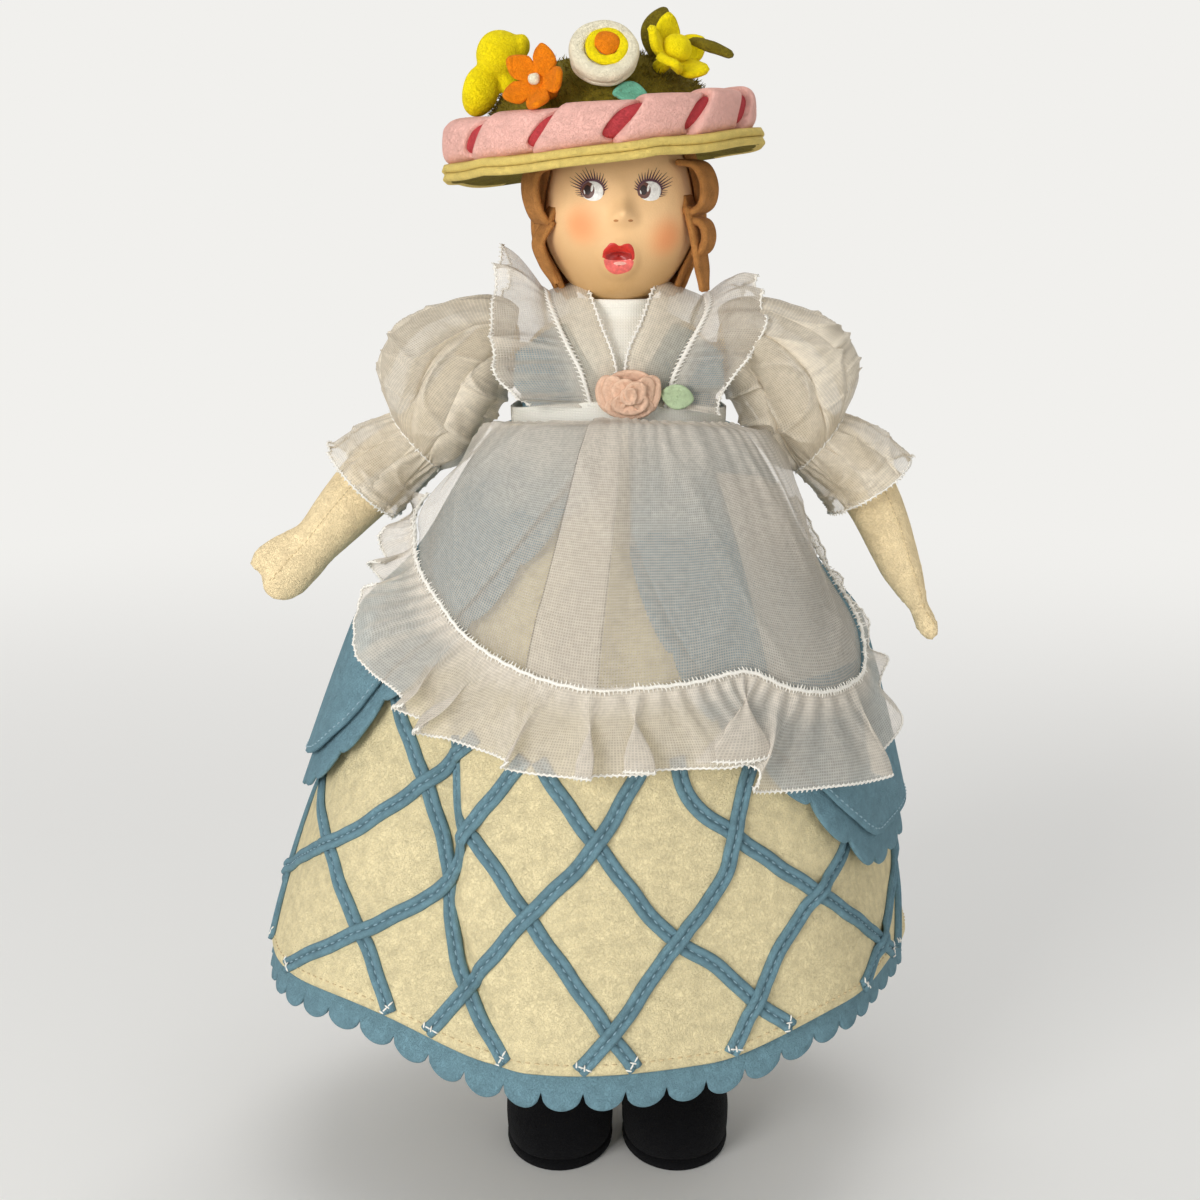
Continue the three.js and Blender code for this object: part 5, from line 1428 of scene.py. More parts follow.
class DollOverskirt(bpy.types.Operator):
    """Blue felt overskirt, open at the front, with a scalloped trim sewn under its edge"""

    bl_idname = "doll.overskirt"
    bl_label = "Overskirt"

    def execute(self, context):
        first, last = math.radians(4), math.radians(354.5)
        trim_share = 6.2 / BELL_LENGTH

        def soft_edge(turn):
            return sum(over_edge(np.clip(turn + math.radians(k), first * 0.3, last)) for k in (-3, 0, 3)) / 3

        def drape(u, v):
            turn = mix(first, last, u)
            low = np.maximum(soft_edge(turn) - trim_share * 0.9, 0.09)
            folds = 0.5 * np.sin(9 * turn + 0.4) * v**2 * smooth(np.cos(turn), 0.9, 0.3)
            return over_skirt(turn, mix(0.03, low, v), OVER_IN + FELT + folds * 0.5)

        points = grid(220, 50, drape)
        overskirt = sew("torso_body", "felt_overskirt", felt_layer(points, FELT), "blue_felt", "overskirt")

        scallops = size("trim_scallops")

        def trim(u, v):
            turn = mix(first, last, u)
            edge = soft_edge(turn)
            depth = size("scallop_depth") * 0.95 / BELL_LENGTH
            low = edge + trim_share * 0.35 - depth * (1 - scallop(u * scallops))
            high = np.maximum(edge - 2.2 * trim_share, 0.05)
            return over_skirt(turn, mix(high, low, v), 3.45)

        points = grid(scallops * SCALLOP_STEPS, 9, trim)
        layer = felt_layer(points, THIN_FELT)
        edge = sew("torso_body", "scalloped_trim", layer, "blue_felt", "overskirt_trim")

        u = np.linspace(0.01, 0.99, 900)
        turn = mix(first, last, u)
        line = drape(u, np.full(900, 1 - 0.012)) + skirt_normal(turn, soft_edge(turn)) * 0.05
        sew("torso_body", "overskirt_stitching", running_stitch(line, 10), "blue_thread")
        return {"FINISHED"}


# The apron's sewn edge as turns in degrees and shares of the skirt's length
APRON_EDGE = [
    (-70, 0.05), (-80, 0.1), (-76, 0.155), (-62, 0.2), (-43, 0.298), (-31, 0.355), (-16, 0.391),
    (-3.5, 0.407), (6, 0.405), (16.5, 0.401), (29, 0.395), (39, 0.432), (48, 0.451), (57, 0.452),
    (65, 0.44), (73, 0.35), (79, 0.21), (81, 0.06),
]

# A pleat folds the apron's cloth forward, back and forward at its middle: shares of its width, then lifts
PLEAT_CLOTH = [0, 0.342, 0.397, 0.452, 0.507, 0.56, 1]
PLEAT_PLACE = [0, 0.384, 0.446, 0.384, 0.446, 0.506, 1]
PLEAT_LIFT = [0, 0, 0.25, 0.55, 0.6, 0, 0]


def stand_off(turn, share):
    """How far the stiff apron stands away from the skirt at its sides."""
    degrees = np.degrees(turn)
    left = 3.5 * smooth(-degrees, 40, 72) * smooth(share, 0.05, 0.16) * smooth(share, 0.46, 0.24)
    right = 0.6 * smooth(degrees, 45, 80) * smooth(share, 0.3, 0.46)
    return left + right


class DollApron(bpy.types.Operator):
    """Sheer apron gathered to the waist, with a gathered frill and overcast edges"""

    bl_idname = "doll.apron"
    bl_label = "Apron"

    def execute(self, context):
        edge_line = flat_line(APRON_EDGE, FLAT_APRON_R)

        def sheer(flat, v):
            u = np.interp(flat, PLEAT_CLOTH, PLEAT_PLACE)
            edge = along(edge_line, u.ravel())[0].reshape(*u.shape, 2) / [FLAT_APRON_R, BELL_LENGTH]
            top = np.radians(mix(-66.0, 88.0, smooth(u, 0.0, 1.0) * 0.35 + u * 0.65))
            turn = mix(top, edge[..., 0], smooth(v, 0, 1) ** 0.8)
            share = mix(0.03, edge[..., 1], v)
            degrees = np.degrees(turn)
            sway = 30 * u + 1.3 * np.sin(11 * u) + 0.6 * np.sin(27 * u)
            gathers = 0.2 * (1 - v) ** 3 * np.sin(math.tau * sway)
            drape = 0.55 * np.sin(degrees / 7.5 + 1.2 * v) * smooth(v, 0.1, 0.7)
            tuck = np.interp(flat, PLEAT_CLOTH + [1.1], PLEAT_LIFT + [0])
            puff = (2.6 + 1.4 * smooth(degrees, -25, 35)) * smooth(v, 0, 0.07) * smooth(v, 0.75, 0.2)
            crease = 1 - np.abs(np.sin(degrees / 13 + 2.6 * v + 0.9 * np.sin(4 * v + degrees / 21)))
            crease = 0.8 * crease**2 + 0.5 * (1 - np.abs(np.sin(degrees / 8 - 4.1 * v + 2))) ** 3
            lift = gathers + drape + tuck + puff + crease * smooth(v, 0.02, 0.15) * smooth(v, 1, 0.85)
            return over_skirt(turn, share, APRON_OUT + lift + stand_off(turn, share))

        def side_hem(u, v):
            """The right edge is turned under in a wide hem, which doubles the cloth there."""
            share = mix(0.1, 0.425, v)
            edge = np.interp(share, *zip(*[(s, t) for t, s in APRON_EDGE[:-5:-1]]))
            return over_skirt(np.radians(mix(mix(31, 35, v), edge - 1, u)), share, APRON_OUT - 0.4)

        sheets = [grid(300, 70, sheer), grid(40, 40, side_hem)]
        cloth = merged(*[cloth_layer(one) for one in sheets])
        weave = np.vstack([weave_of(one).reshape(-1, 3) for one in sheets])
        how = {"weave": weave, "outward": False}
        apron = sew("torso_body", "organdie_apron", cloth, "apron_organdie", "apron", **how)

        pleats = size("frill_pleats")

        def frill(u, v):
            share = mix(0.075, 0.955, u)
            edge, way = along(edge_line, share.ravel())
            edge, way = edge.reshape(*u.shape, 2), way.reshape(*u.shape, 2)
            base = edge / [FLAT_APRON_R, BELL_LENGTH]
            degrees = np.degrees(base[..., 0])
            radius = bell_radius(base[..., 1])
            deep = size("frill_depth") + 3.6 * bump(degrees, -36, 16) + 4.5 * bump(degrees, 53, 18)
            deep = deep * mix(0.64, 1.0, smooth(degrees, -58, -34))
            deep = deep * mix(0.4, 1.0, smooth(u, 0.0, 0.14)) * mix(0.12, 1.0, smooth(u, 0.79, 0.69))
            flutter = 0.5 * np.sin(37 * u) + 0.35 * np.sin(61 * u + 2)
            reach = v * deep * (1 + 0.05 * flutter)
            heading = unit(way)
            turn = base[..., 0] - heading[..., 1] * reach / radius
            low = base[..., 1] + heading[..., 0] * reach / BELL_LENGTH
            phase = math.tau * (pleats * u + 0.45 * np.sin(17 * u) + 0.3 * np.sin(41 * u + 1))
            calm = mix(0.25, 1.0, smooth(u, 0.8, 0.69))
            wave = 2.3 * calm * (1 + np.sin(phase + 0.6 * v)) * smooth(v, 0, 0.9)
            turn = turn + 3.6 * calm * np.cos(phase) * smooth(v, 0.05, 0.9) / radius
            fine = np.sin(math.tau * 3.3 * pleats * u + 1.5 * np.sin(23 * u))
            small = 0.45 * fine * (1 - 0.65 * v) * smooth(v, 0, 0.08)
            clear = APRON_OUT + 0.3 + wave + small + stand_off(turn, np.minimum(low, 0.5))
            return over_skirt(turn, low, clear)

        points = grid(760, 22, frill)
        shown = sew_sheer("torso_body", "gathered_frill", points, "frill_organdie", "apron_frill")

        up = grid_normals(points)
        sew("torso_body", "frill_overcasting", rim_edging(points, up, 1.2, 0.19), "white_thread")
        cord = along(points[:, 0] + up[:, 0] * 0.3, np.linspace(0, 1, 420))[0]
        inward = points[:, 1] - points[:, 0]
        header = edging(points[:, 0] + up[:, 0] * 0.45, inward, up[:, 0], 1.3, 0.85, 0.16)
        sew("torso_body", "apron_header_stitching", merged(rope(cord, 0.36, 8), header), "white_thread")
        return {"FINISHED"}


# Each strap's middle line over the shoulder from front to back, with its width
STRAPS = {
    -1: [(-2.6, -17.6, 167, 6), (-4.6, -16.8, 175.4, 7.3), (-7.2, -14.2, 181, 7.9), (-10.1, -9.5, 188, 8.4),
         (-11, -4, 190, 8), (-12.5, 5, 188.5, 7.5), (-12, 12, 181, 7), (-10, 17, 168, 6.4)],
    1: [(5.4, -17.6, 167, 8), (6.5, -16.8, 175.4, 10.5), (9.3, -14.2, 181, 10.9), (12.6, -9.5, 188, 11.8),
        (13.5, -4, 189.5, 10), (13.5, 5, 188, 8.5), (12, 12, 181, 7.4), (10, 17, 168, 6.4)],
}
# The outer edge of each shoulder frill, from front to back
FRILL_RIMS = {
    -1: [(-18.4, -19, 167), (-24.5, -15.5, 172), (-26, -12, 180), (-26, -6, 188.5), (-24.6, -1, 196.8),
         (-23, 5, 194.5), (-24.5, 12, 182), (-19, 17, 168)],
    1: [(20, -18, 165.5), (21.5, -16.5, 170.5), (28, -12, 178.5), (30, -9, 184), (28, -3, 191),
        (26.5, 5, 190), (26, 12, 180), (19, 17, 168)],
}


def strap_frame(side, shares):
    """Places along a strap, which way is across it and off it, and half its width."""
    rows, way = along(dense_curve(STRAPS[side]), shares)
    here, way = rows[:, :3], unit(way[:, :3])
    core = np.stack([here[:, 0] * 0.55, np.zeros(len(here)), np.full(len(here), SHOULDER_Z - 4)], -1)
    out = unit(here - core)
    across = unit(np.cross(way, out)) * side
    return here, across, unit(np.cross(across, way)) * side, rows[:, 3:] / 2


class DollFrills(bpy.types.Operator):
    """Organdie straps over the shoulders with gathered frills and overcast edges"""

    bl_idname = "doll.frills"
    bl_label = "Shoulder frills"

    def execute(self, context):
        for side, word in SIDES:
            u = np.linspace(0, 1, 140)
            here, across, up, half = strap_frame(side, u)
            v = np.linspace(-1, 1, 11)
            points = here[:, None] + across[:, None] * (v * half)[..., None]
            crinkle = 0.2 * np.sin(2.5 * v + u[:, None] * 8) - 0.5 * np.abs(v) ** 3
            points = points + up[:, None] * crinkle[..., None]
            name = f"{word}_organdie_strap"
            strap = sew_sheer("torso_body", name, points, "strap_organdie", f"{word}_strap")
            hem = edging(here - across * half, across, up, 0.8, 1.3, 0.2)
            sew("torso_body", f"{word}_strap_hem", hem, "white_thread")

            u = np.linspace(0, 1, 300)
            here, across, up, half = strap_frame(side, u)
            seam = here + across * half - up * 0.4
            rim = along(dense_curve(FRILL_RIMS[side]), u)[0]
            v = np.linspace(0, 1, 20)
            phase = math.tau * (8 * u + 0.35 * np.sin(13 * u + side) + 0.2 * np.sin(29 * u))[:, None]
            fold = 1.5 * np.sin(phase) * v**1.1 + 0.25 * np.sin(3 * phase) * np.sin(math.pi * v)
            arch = (2.2 if side < 0 else 2.7) * np.sin(math.pi * v) * np.sin(math.pi * u)[:, None]
            points = mix(seam[:, None], rim[:, None], v[None, :, None])
            slide = unit(np.gradient(rim, axis=0))
            points = points + up[:, None] * (fold + arch)[..., None]
            points = points + slide[:, None] * (0.9 * np.cos(phase) * v)[..., None]
            name = f"{word}_gathered_shoulder_frill"
            frill = sew_sheer("torso_body", name, points, "shoulder_organdie", f"{word}_shoulder_frill")
            edge = rim_edging(points, grid_normals(points), 1.2, 0.2)
            cord = rope(along(points[:, 0] + up * 0.35, np.linspace(0, 1, 160))[0], 0.42, 7)
            sewing = edging(points[:, 0] + up * 0.55, points[:, 1] - points[:, 0], up, 1.5, 1.0, 0.2)
            sew("torso_body", f"{word}_frill_overcasting", merged(edge, cord, sewing), "white_thread")
        return {"FINISHED"}


class DollSleeves(bpy.types.Operator):
    """Sheer puffed sleeves gathered above the elbow, each ending in a hemmed flounce"""

    bl_idname = "doll.sleeves"
    bl_label = "Sleeves"

    def execute(self, context):
        clear, snug = ARM_R + GAP + 0.2, FOREARM_R + GAP + 0.2
        end = PUFF_LENGTH + GAP + FLOUNCE_LENGTH
        # Along the arm: distance, rise above it, sink below it and half depth
        puff_rows = np.array([
            (1.4, clear + 1, clear, clear),
            (6, clear + PUFF_RISE * 0.6, clear, PUFF_HALF_DEPTH - 2),
            (13, clear + PUFF_RISE, clear + 0.6, PUFF_HALF_DEPTH),
            (21, clear + PUFF_RISE, clear + 1.6, PUFF_HALF_DEPTH),
            (27, clear + PUFF_RISE * 0.75, clear + 2.0, PUFF_HALF_DEPTH - 1),
            (PUFF_LENGTH, snug, snug, snug),
        ])
        flounce_rows = np.array([
            (PUFF_LENGTH, snug, snug, snug),
            (PUFF_LENGTH + FLOUNCE_LENGTH * 0.4, snug + 2, snug + 0.5, snug + 1.6),
            (end, snug + FLOUNCE_FLARE, snug + 1.2, snug + FLOUNCE_FLARE),
        ])
        for side, word in SIDES:
            body, arm = f"{word}_arm_body", f"stuffed_{word}_arm"
            length = length_along(arm_line(side))
            puff = self.tube(side, length, puff_rows, 70, 420, side * 1.7, 0.11)
            name = f"{word}_organdie_puff"
            shown = sew_sheer(body, name, puff, "sleeve_organdie", f"{word}_puff_sleeve", True)
            flounce = self.tube(side, length, flounce_rows, 34, 300, side * 2.9, 0.07, False)
            name = f"{word}_organdie_flounce"
            shown = sew_sheer(body, name, flounce, "flounce_organdie", f"{word}_flounce", True)
            hem = rim_edging(flounce, grid_normals(flounce, True), 1.3, 0.17, True)
            sew(body, f"{word}_flounce_hem", hem, "white_thread")
            rows = (puff[:, -1], puff[:, -1] - puff[:, -2], grid_normals(puff, True)[:, -1])
            gather = edging(*[closed(row) for row in rows], 1.0, 1.6, 0.16)
            sew(body, f"{word}_gather_thread", gather, "white_thread")
        return {"FINISHED"}

    def tube(self, side, length, rows, down, around, seed, depth, shut=True):
        """A tube along the arm: sharp folds slant over it and pinch together where it is gathered."""
        smooth_rows = dense_curve(rows)
        distance = np.linspace(rows[0, 0], rows[-1, 0], down)
        rise, sink, half = (np.interp(distance, smooth_rows[:, 0], smooth_rows[:, k]) for k in (1, 2, 3))
        centre, _, up = arm_frame(side, distance / length)
        turn = circle(around)[:, None]
        s = (distance - rows[0, 0]) / (rows[-1, 0] - rows[0, 0])
        if shut:
            open_ = np.sin(math.pi * np.clip(s, 0, 1)) ** 0.5
            pinch, slant = 1 - open_, 2.4
        else:
            open_ = s**0.7
            pinch, slant = (1 - s) ** 2, 0.5
        fine = 0.035 * pinch * np.sin(26 * turn + 3 * np.sin(3 * turn) + seed)
        folds = 8
        phase = folds * turn + 1.6 * np.sin(2 * turn + seed) + slant * s + seed
        uneven = 1 + 0.45 * np.sin(3 * turn + 2 * seed)
        first = 1 - np.abs(np.sin(2.5 * turn + 5.5 * s + seed + 1.1 * np.sin(3 * turn - 4 * s)))
        second = 1 - np.abs(np.sin(4 * turn - 7 * s + 2 * seed + 0.9 * np.sin(2 * turn + 6 * s)))
        cross = open_ * (0.1 * first**5 + 0.075 * second**6 - 0.03)
        wave = 1 + depth * open_ * uneven * np.cos(phase) + fine + cross
        lapped = turn + 1.7 / folds * open_ * uneven * np.sin(phase)
        high = (rise - sink) / 2 + (rise + sink) / 2 * np.cos(lapped) * wave
        deep = half * np.sin(lapped) * wave
        points = centre[None] + high[..., None] * up[None]
        points[..., 1] += deep
        return points


# The rose's petals from the outside in: place, half width, half height, turn, height off the waist and tilt
ROSE_PETALS = [
    (-4.0, 0.1, 2.5, 3.6, 8, 0.2, -20), (4.0, 0.2, 2.5, 3.5, -8, 0.2, 20), (0.2, 2.6, 4.2, 2.1, 0, 0.4, 0),
    (0, -2.5, 4.8, 2.1, 0, 0.5, 0), (-2.7, 0.5, 2.5, 3.3, 14, 0.9, -26), (2.8, 0.3, 2.4, 3.2, -12, 1.0, 26),
    (0.2, -1.6, 3.6, 2.0, 4, 1.4, 0), (-0.9, 1.0, 2.5, 2.1, 24, 1.7, -14), (1.2, 0.6, 2.2, 2.0, -20, 2.1, 16),
    (0, 0, 1.5, 1.4, 0, 2.6, 0),
]


class DollRose(bpy.types.Operator):
    """Felt rose of curled petals at the waist, with one leaf"""

    bl_idname = "doll.rose"
    bl_label = "Waist rose"

    def execute(self, context):
        middle = np.array([2.0, -(TORSO_HALF_DEPTH + 2.4 + ORGANDIE + 2.6), WAIST_Z + 7.5])
        face = np.array([[1, 0, 0], [0, 0, -1], [0, 1, 0]], float)
        shells = []
        for x, z, half_x, half_z, turn, lift, tilt in ROSE_PETALS:
            petal = self.petal(half_z, half_x, 0.7, 0.75)
            petal = moved(petal, spin("Z", turn) @ spin("Y", tilt), (x, z, lift))
            shells.append(moved(petal, face, middle))
        sew("torso_body", "petalled_rose", merged(*shells), "peach_felt", "waist_rose")

        def leaf(u, v):
            turn = u * math.tau
            point = 1 - 0.25 * np.abs(np.sin(turn))
            x, y = 3.4 * v * np.cos(turn) * point, 2.3 * v * np.sin(turn)
            return np.stack([x, y, 0.35 * np.abs(y) - 0.05 * x**2], -1)

        points = grid(40, 8, lambda u, v: leaf(u, mix(0.02, 1, v)), True)
        leaf_shell = moved(felt_layer(points, 0.6, True), face @ spin("Z", -12), middle + [9.7, 1.0, -0.6])
        sew("torso_body", "rose_felt_leaf", leaf_shell, "leaf_felt", "rose_leaf")
        return {"FINISHED"}

    def petal(self, wide, long, cup, thick):
        def shape(u, v):
            turn, r = u * math.tau, mix(0.03, 1, v)
            x, y = long * r * np.cos(turn), wide * r * np.sin(turn)
            curl = 0.5 * smooth(x, 0.5 * long, long) ** 2
            return np.stack([x, y, cup * r**2 - curl], -1)

        return felt_layer(grid(26, 6, shape, True), thick, True)


class DollHead(bpy.types.Operator):
    """Pressed felt head with a painted face"""

    bl_idname = "doll.head"
    bl_label = "Head and face"

    def execute(self, context):
        rise = np.linspace(-math.pi / 2 + 0.10, math.pi / 2 - 0.16, 150)
        turn = circle(200)
        shell = loft([head_point(turn, r, 0.0, True) for r in rise])
        sew("head_body", "pressed_head", shell, "face_felt", "head")
        self.eye("right_eye", -1, -5.4, -6.25, 2.2)
        self.eye("left_eye", 1, 6.0, 4.9, 2.3)
        self.mouth()
        # The nostrils are darker flesh: painted shade in the nostrils
        for name, x in (("right_nostril", -0.75), ("left_nostril", 2.15)):
            self.patch(name, self.oval(x, 203.9, 0.5, 0.26), 1.0, "nostril_paint")
        return {"FINISHED"}

    def patch(self, name, outline, layer, finish):
        """A painted shape that lies on the face, from its outline as seen from the front."""
        line = along(dense_curve(closed(outline)), np.linspace(0, 1, 60, endpoint=False))[0]
        shares = (0.04, 0.2, 0.4, 0.6, 0.8, 0.93, 1.0)
        rings = np.array([mix(line.mean(0), line, share) for share in shares])
        y = face_y(rings[..., 0], rings[..., 1]) - PAINT * layer
        y[-1] += PAINT * layer + 0.03
        points = np.swapaxes(np.stack([rings[..., 0], y, rings[..., 1]], -1), 0, 1)
        faces = grid_faces(60, len(shares), True) + [[i * len(shares) for i in range(60)]]
        sew("head_body", name, (points.reshape(-1, 3), faces), finish, outward=False)

    def oval(self, x, z, half_x, half_z, lean=0.0, square=2.0):
        cx, cz = squared(circle(24), 2 / square)
        return np.stack([x + half_x * cx + lean * cz, z + half_z * cz], -1)

    def eye(self, name, outer, x, iris_x, wide):
        """A painted eye: white, iris, pupil, two lights, lid and lashes; outer is the side it ends at."""
        ovals = (
            ("white", (x, EYE_Z - 0.05, wide, 1.95, -0.12, 2.3), 1.0, "eye_white_paint"),
            ("iris", (iris_x, EYE_Z + 0.1, 1.32, 1.68), 2.0, "iris_paint"),
            ("pupil", (iris_x - 0.15, EYE_Z + 0.15, 0.7, 1.0), 3.0, "pupil_paint"),
            ("light", (iris_x + 0.78, EYE_Z + 0.55, 0.26, 0.75, 0.12), 4.0, "eye_white_paint"),
            ("glint", (iris_x - 0.75, EYE_Z - 0.25, 0.14, 0.42, -0.1), 4.0, "eye_white_paint"),
        )
        for part, shape, layer, finish in ovals:
            self.patch(f"{name}_{part}", self.oval(*shape), layer, finish)
        arc = np.linspace(-0.15, 1.12, 30) * math.pi
        lid = np.stack([x - np.cos(arc) * (wide + 0.1), EYE_Z + np.sin(arc) * 2.08], -1)
        strokes = [(lid, 0.09 + 0.15 * np.clip(np.sin(arc), 0, 1))]
        t = np.linspace(0, 1, 9)[:, None]
        for k, a in enumerate(np.linspace(0.05, 0.98, 17)):
            turn = a * math.pi
            root = np.array([x + outer * math.cos(turn) * wide, EYE_Z + math.sin(turn) * 2.05])
            away = np.array([outer * (math.cos(turn) + 0.28), 0.9 * math.sin(turn) + 0.18])
            reach = (2.4 - 1.3 * a**2) * (0.85 + 0.3 * ((k * 7) % 5) / 4)
            sweep = np.array([outer * 0.35, 0.3]) * reach * 0.3
            strokes.append((root + unit(away) * reach * t + sweep * t**2, np.linspace(0.19, 0.02, 9)))
        for k, a in enumerate(np.linspace(-0.2, 0.02, 4)):
            turn = a * math.pi
            root = np.array([x + outer * math.cos(turn) * wide, EYE_Z + math.sin(turn) * 1.95])
            line = root + np.array([outer, 0.15 - 0.35 * k / 4]) * np.linspace(0, 1.3, 7)[:, None]
            strokes.append((line, np.linspace(0.1, 0.02, 7)))
        shells = []
        for line, weight in strokes:
            way = unit(np.gradient(line, axis=0))
            side = np.stack([-way[:, 1], way[:, 0]], -1)
            rows = np.stack([line - side * weight[:, None], line, line + side * weight[:, None]], 1)
            y = face_y(rows[..., 0], rows[..., 1]) - np.array([0.09, 0.2, 0.09])
            shells.append(cloth_layer(np.stack([rows[..., 0], y, rows[..., 1]], -1)))
        sew("head_body", f"{name}_lashes", merged(*shells), "lash_paint", outward=False)

    def mouth(self):
        upper = np.array([
            (-3.45, 196.5), (-3.3, 197.9), (-2.65, 198.7), (-1.95, 199.45), (-1.0, 199.5), (-0.05, 198.95),
            (1.05, 199.3), (2.05, 199.35), (2.75, 198.6), (3.0, 197.3), (2.85, 196.1), (1.5, 195.9),
            (-0.3, 195.9), (-2.2, 195.9),
        ])
        lower = np.array([
            (-3.2, 196.1), (-2.4, 196.25), (0.1, 196.3), (2.4, 196.25), (2.85, 195.7), (2.25, 194.0),
            (0.7, 193.3), (-0.8, 193.1), (-2.0, 193.6), (-2.9, 194.7),
        ])
        inside = np.array([
            (-2.9, 197.0), (-1.5, 197.55), (-0.2, 197.7), (1.3, 197.6), (2.5, 197.2), (2.5, 196.4),
            (1.2, 196.0), (-0.2, 195.9), (-1.6, 195.95), (-2.7, 196.2),
        ])
        self.patch("upper_lip", upper, 1.0, "lip_red_paint")
        self.patch("lower_lip", lower, 1.6, "lip_pink_paint")
        self.patch("mouth_inside", inside, 2.4, "mouth_paint")
        self.patch("lip_shine", self.oval(0.1, 195.35, 1.35, 0.38), 3.0, "lip_light_paint")


class DollHair(bpy.types.Operator):
    """Brown felt hair: strips round the back of the head, loops and locks at the sides"""

    bl_idname = "doll.hair"
    bl_label = "Hair"

    def execute(self, context):
        shells = []
        for k in range(15):
            middle = math.radians(mix(80, 280, k / 14))
            lift = 0.35 + 0.75 * (k % 2)

            def strip(u, v):
                rise = mix(0.62, -0.86 + 0.06 * math.sin(k * 2.1), v)
                wave = 0.05 * np.sin(4 * v + k)
                wide = 0.155 * (1 - 0.35 * smooth(v, 0.7, 1))
                flare = 1.4 * smooth(v, 0.72, 1) ** 2
                belly = 0.55 * np.cos((u - 0.5) * math.pi)
                return head_point(middle + wave + (u - 0.5) * 2 * wide, rise, lift + flare + belly + 0.75)

            points = grid(9, 28, strip)
            shells.append(felt_layer(points, 0.85))
        sew("head_body", "felt_back_hair", merged(*shells), "brown_felt", "back_hair")

        lock_x, lock_y, loop_x = HEAD_HALF_W - 1.6, -9.0, HEAD_HALF_W - 2.7
        pieces = (
            ("left_hair_loop", 1, 6.0, 1.25, [
                (loop_x, lock_y, 9.4), (loop_x + 3.4, lock_y - 0.4, 8.6), (loop_x + 5.2, lock_y, 4.6),
                (loop_x + 4.4, lock_y + 0.6, 0.6), (loop_x + 1.6, lock_y + 0.8, -0.6),
                (loop_x + 0.6, lock_y + 1.4, 2.6),
            ]),
            ("left_hair_lock", 1, 4.6, 1.2, [
                (lock_x + 0.4, lock_y, 0.4), (lock_x + 1.6, lock_y + 0.2, -4.6),
                (lock_x + 2.6, lock_y + 0.4, -10), (lock_x + 3.4, lock_y + 1.2, -16.2),
            ]),
            ("right_hair_loop", -1, 5.4, 1.3, [
                (loop_x + 0.6, lock_y, 9.0), (loop_x + 4.4, lock_y - 0.2, 7.4), (loop_x + 4.9, lock_y, 2.4),
                (loop_x + 2.6, lock_y + 0.4, -2.4), (loop_x + 0.2, lock_y + 0.8, 0.2),
            ]),
            ("right_hair_lock", -1, 3.8, 1.1, [
                (lock_x + 0.2, lock_y, -2.6), (lock_x + 2.4, lock_y + 0.4, -6.6),
                (lock_x + 1.0, lock_y + 0.8, -11), (lock_x - 1.0, lock_y + 1.2, -14.6),
            ]),
        )
        for name, side, width, thick, path in pieces:
            shell = self.ribbon(side, path, width, thick)
            sew("head_body", f"felt_{name}", shell, "brown_felt", name)
        curl = [
            (15.0, lock_y + 0.4, -2.0), (17.3, lock_y, -2.8), (18.1, lock_y, -5.6), (17.1, lock_y, -8.2),
            (15.4, lock_y + 0.4, -8.6),
        ]
        sew("head_body", "left_side_curl", self.ribbon(1, curl, 4.0, 1.5), "brown_felt")
        return {"FINISHED"}

    def ribbon(self, side, path, width, thick):
        """A felt strip set on edge, following a line down the side of the face."""
        line = dense_curve([(side * x, HEAD_Y + y, HEAD_Z + z) for x, y, z in path])
        here = along(line, np.linspace(0, 1, 40))[0]
        across = np.tile(np.array([side * 0.5, 0.87, 0.0]), (40, 1))
        taper = 1 - 0.45 * smooth(np.linspace(0, 1, 40), 0.7, 1)
        v = np.linspace(-0.5, 0.5, 7)
        points = here[:, None] + across[:, None] * (v[None, :] * width * taper[:, None])[..., None]
        return felt_layer(points + grid_normals(points) * thick / 2, thick)


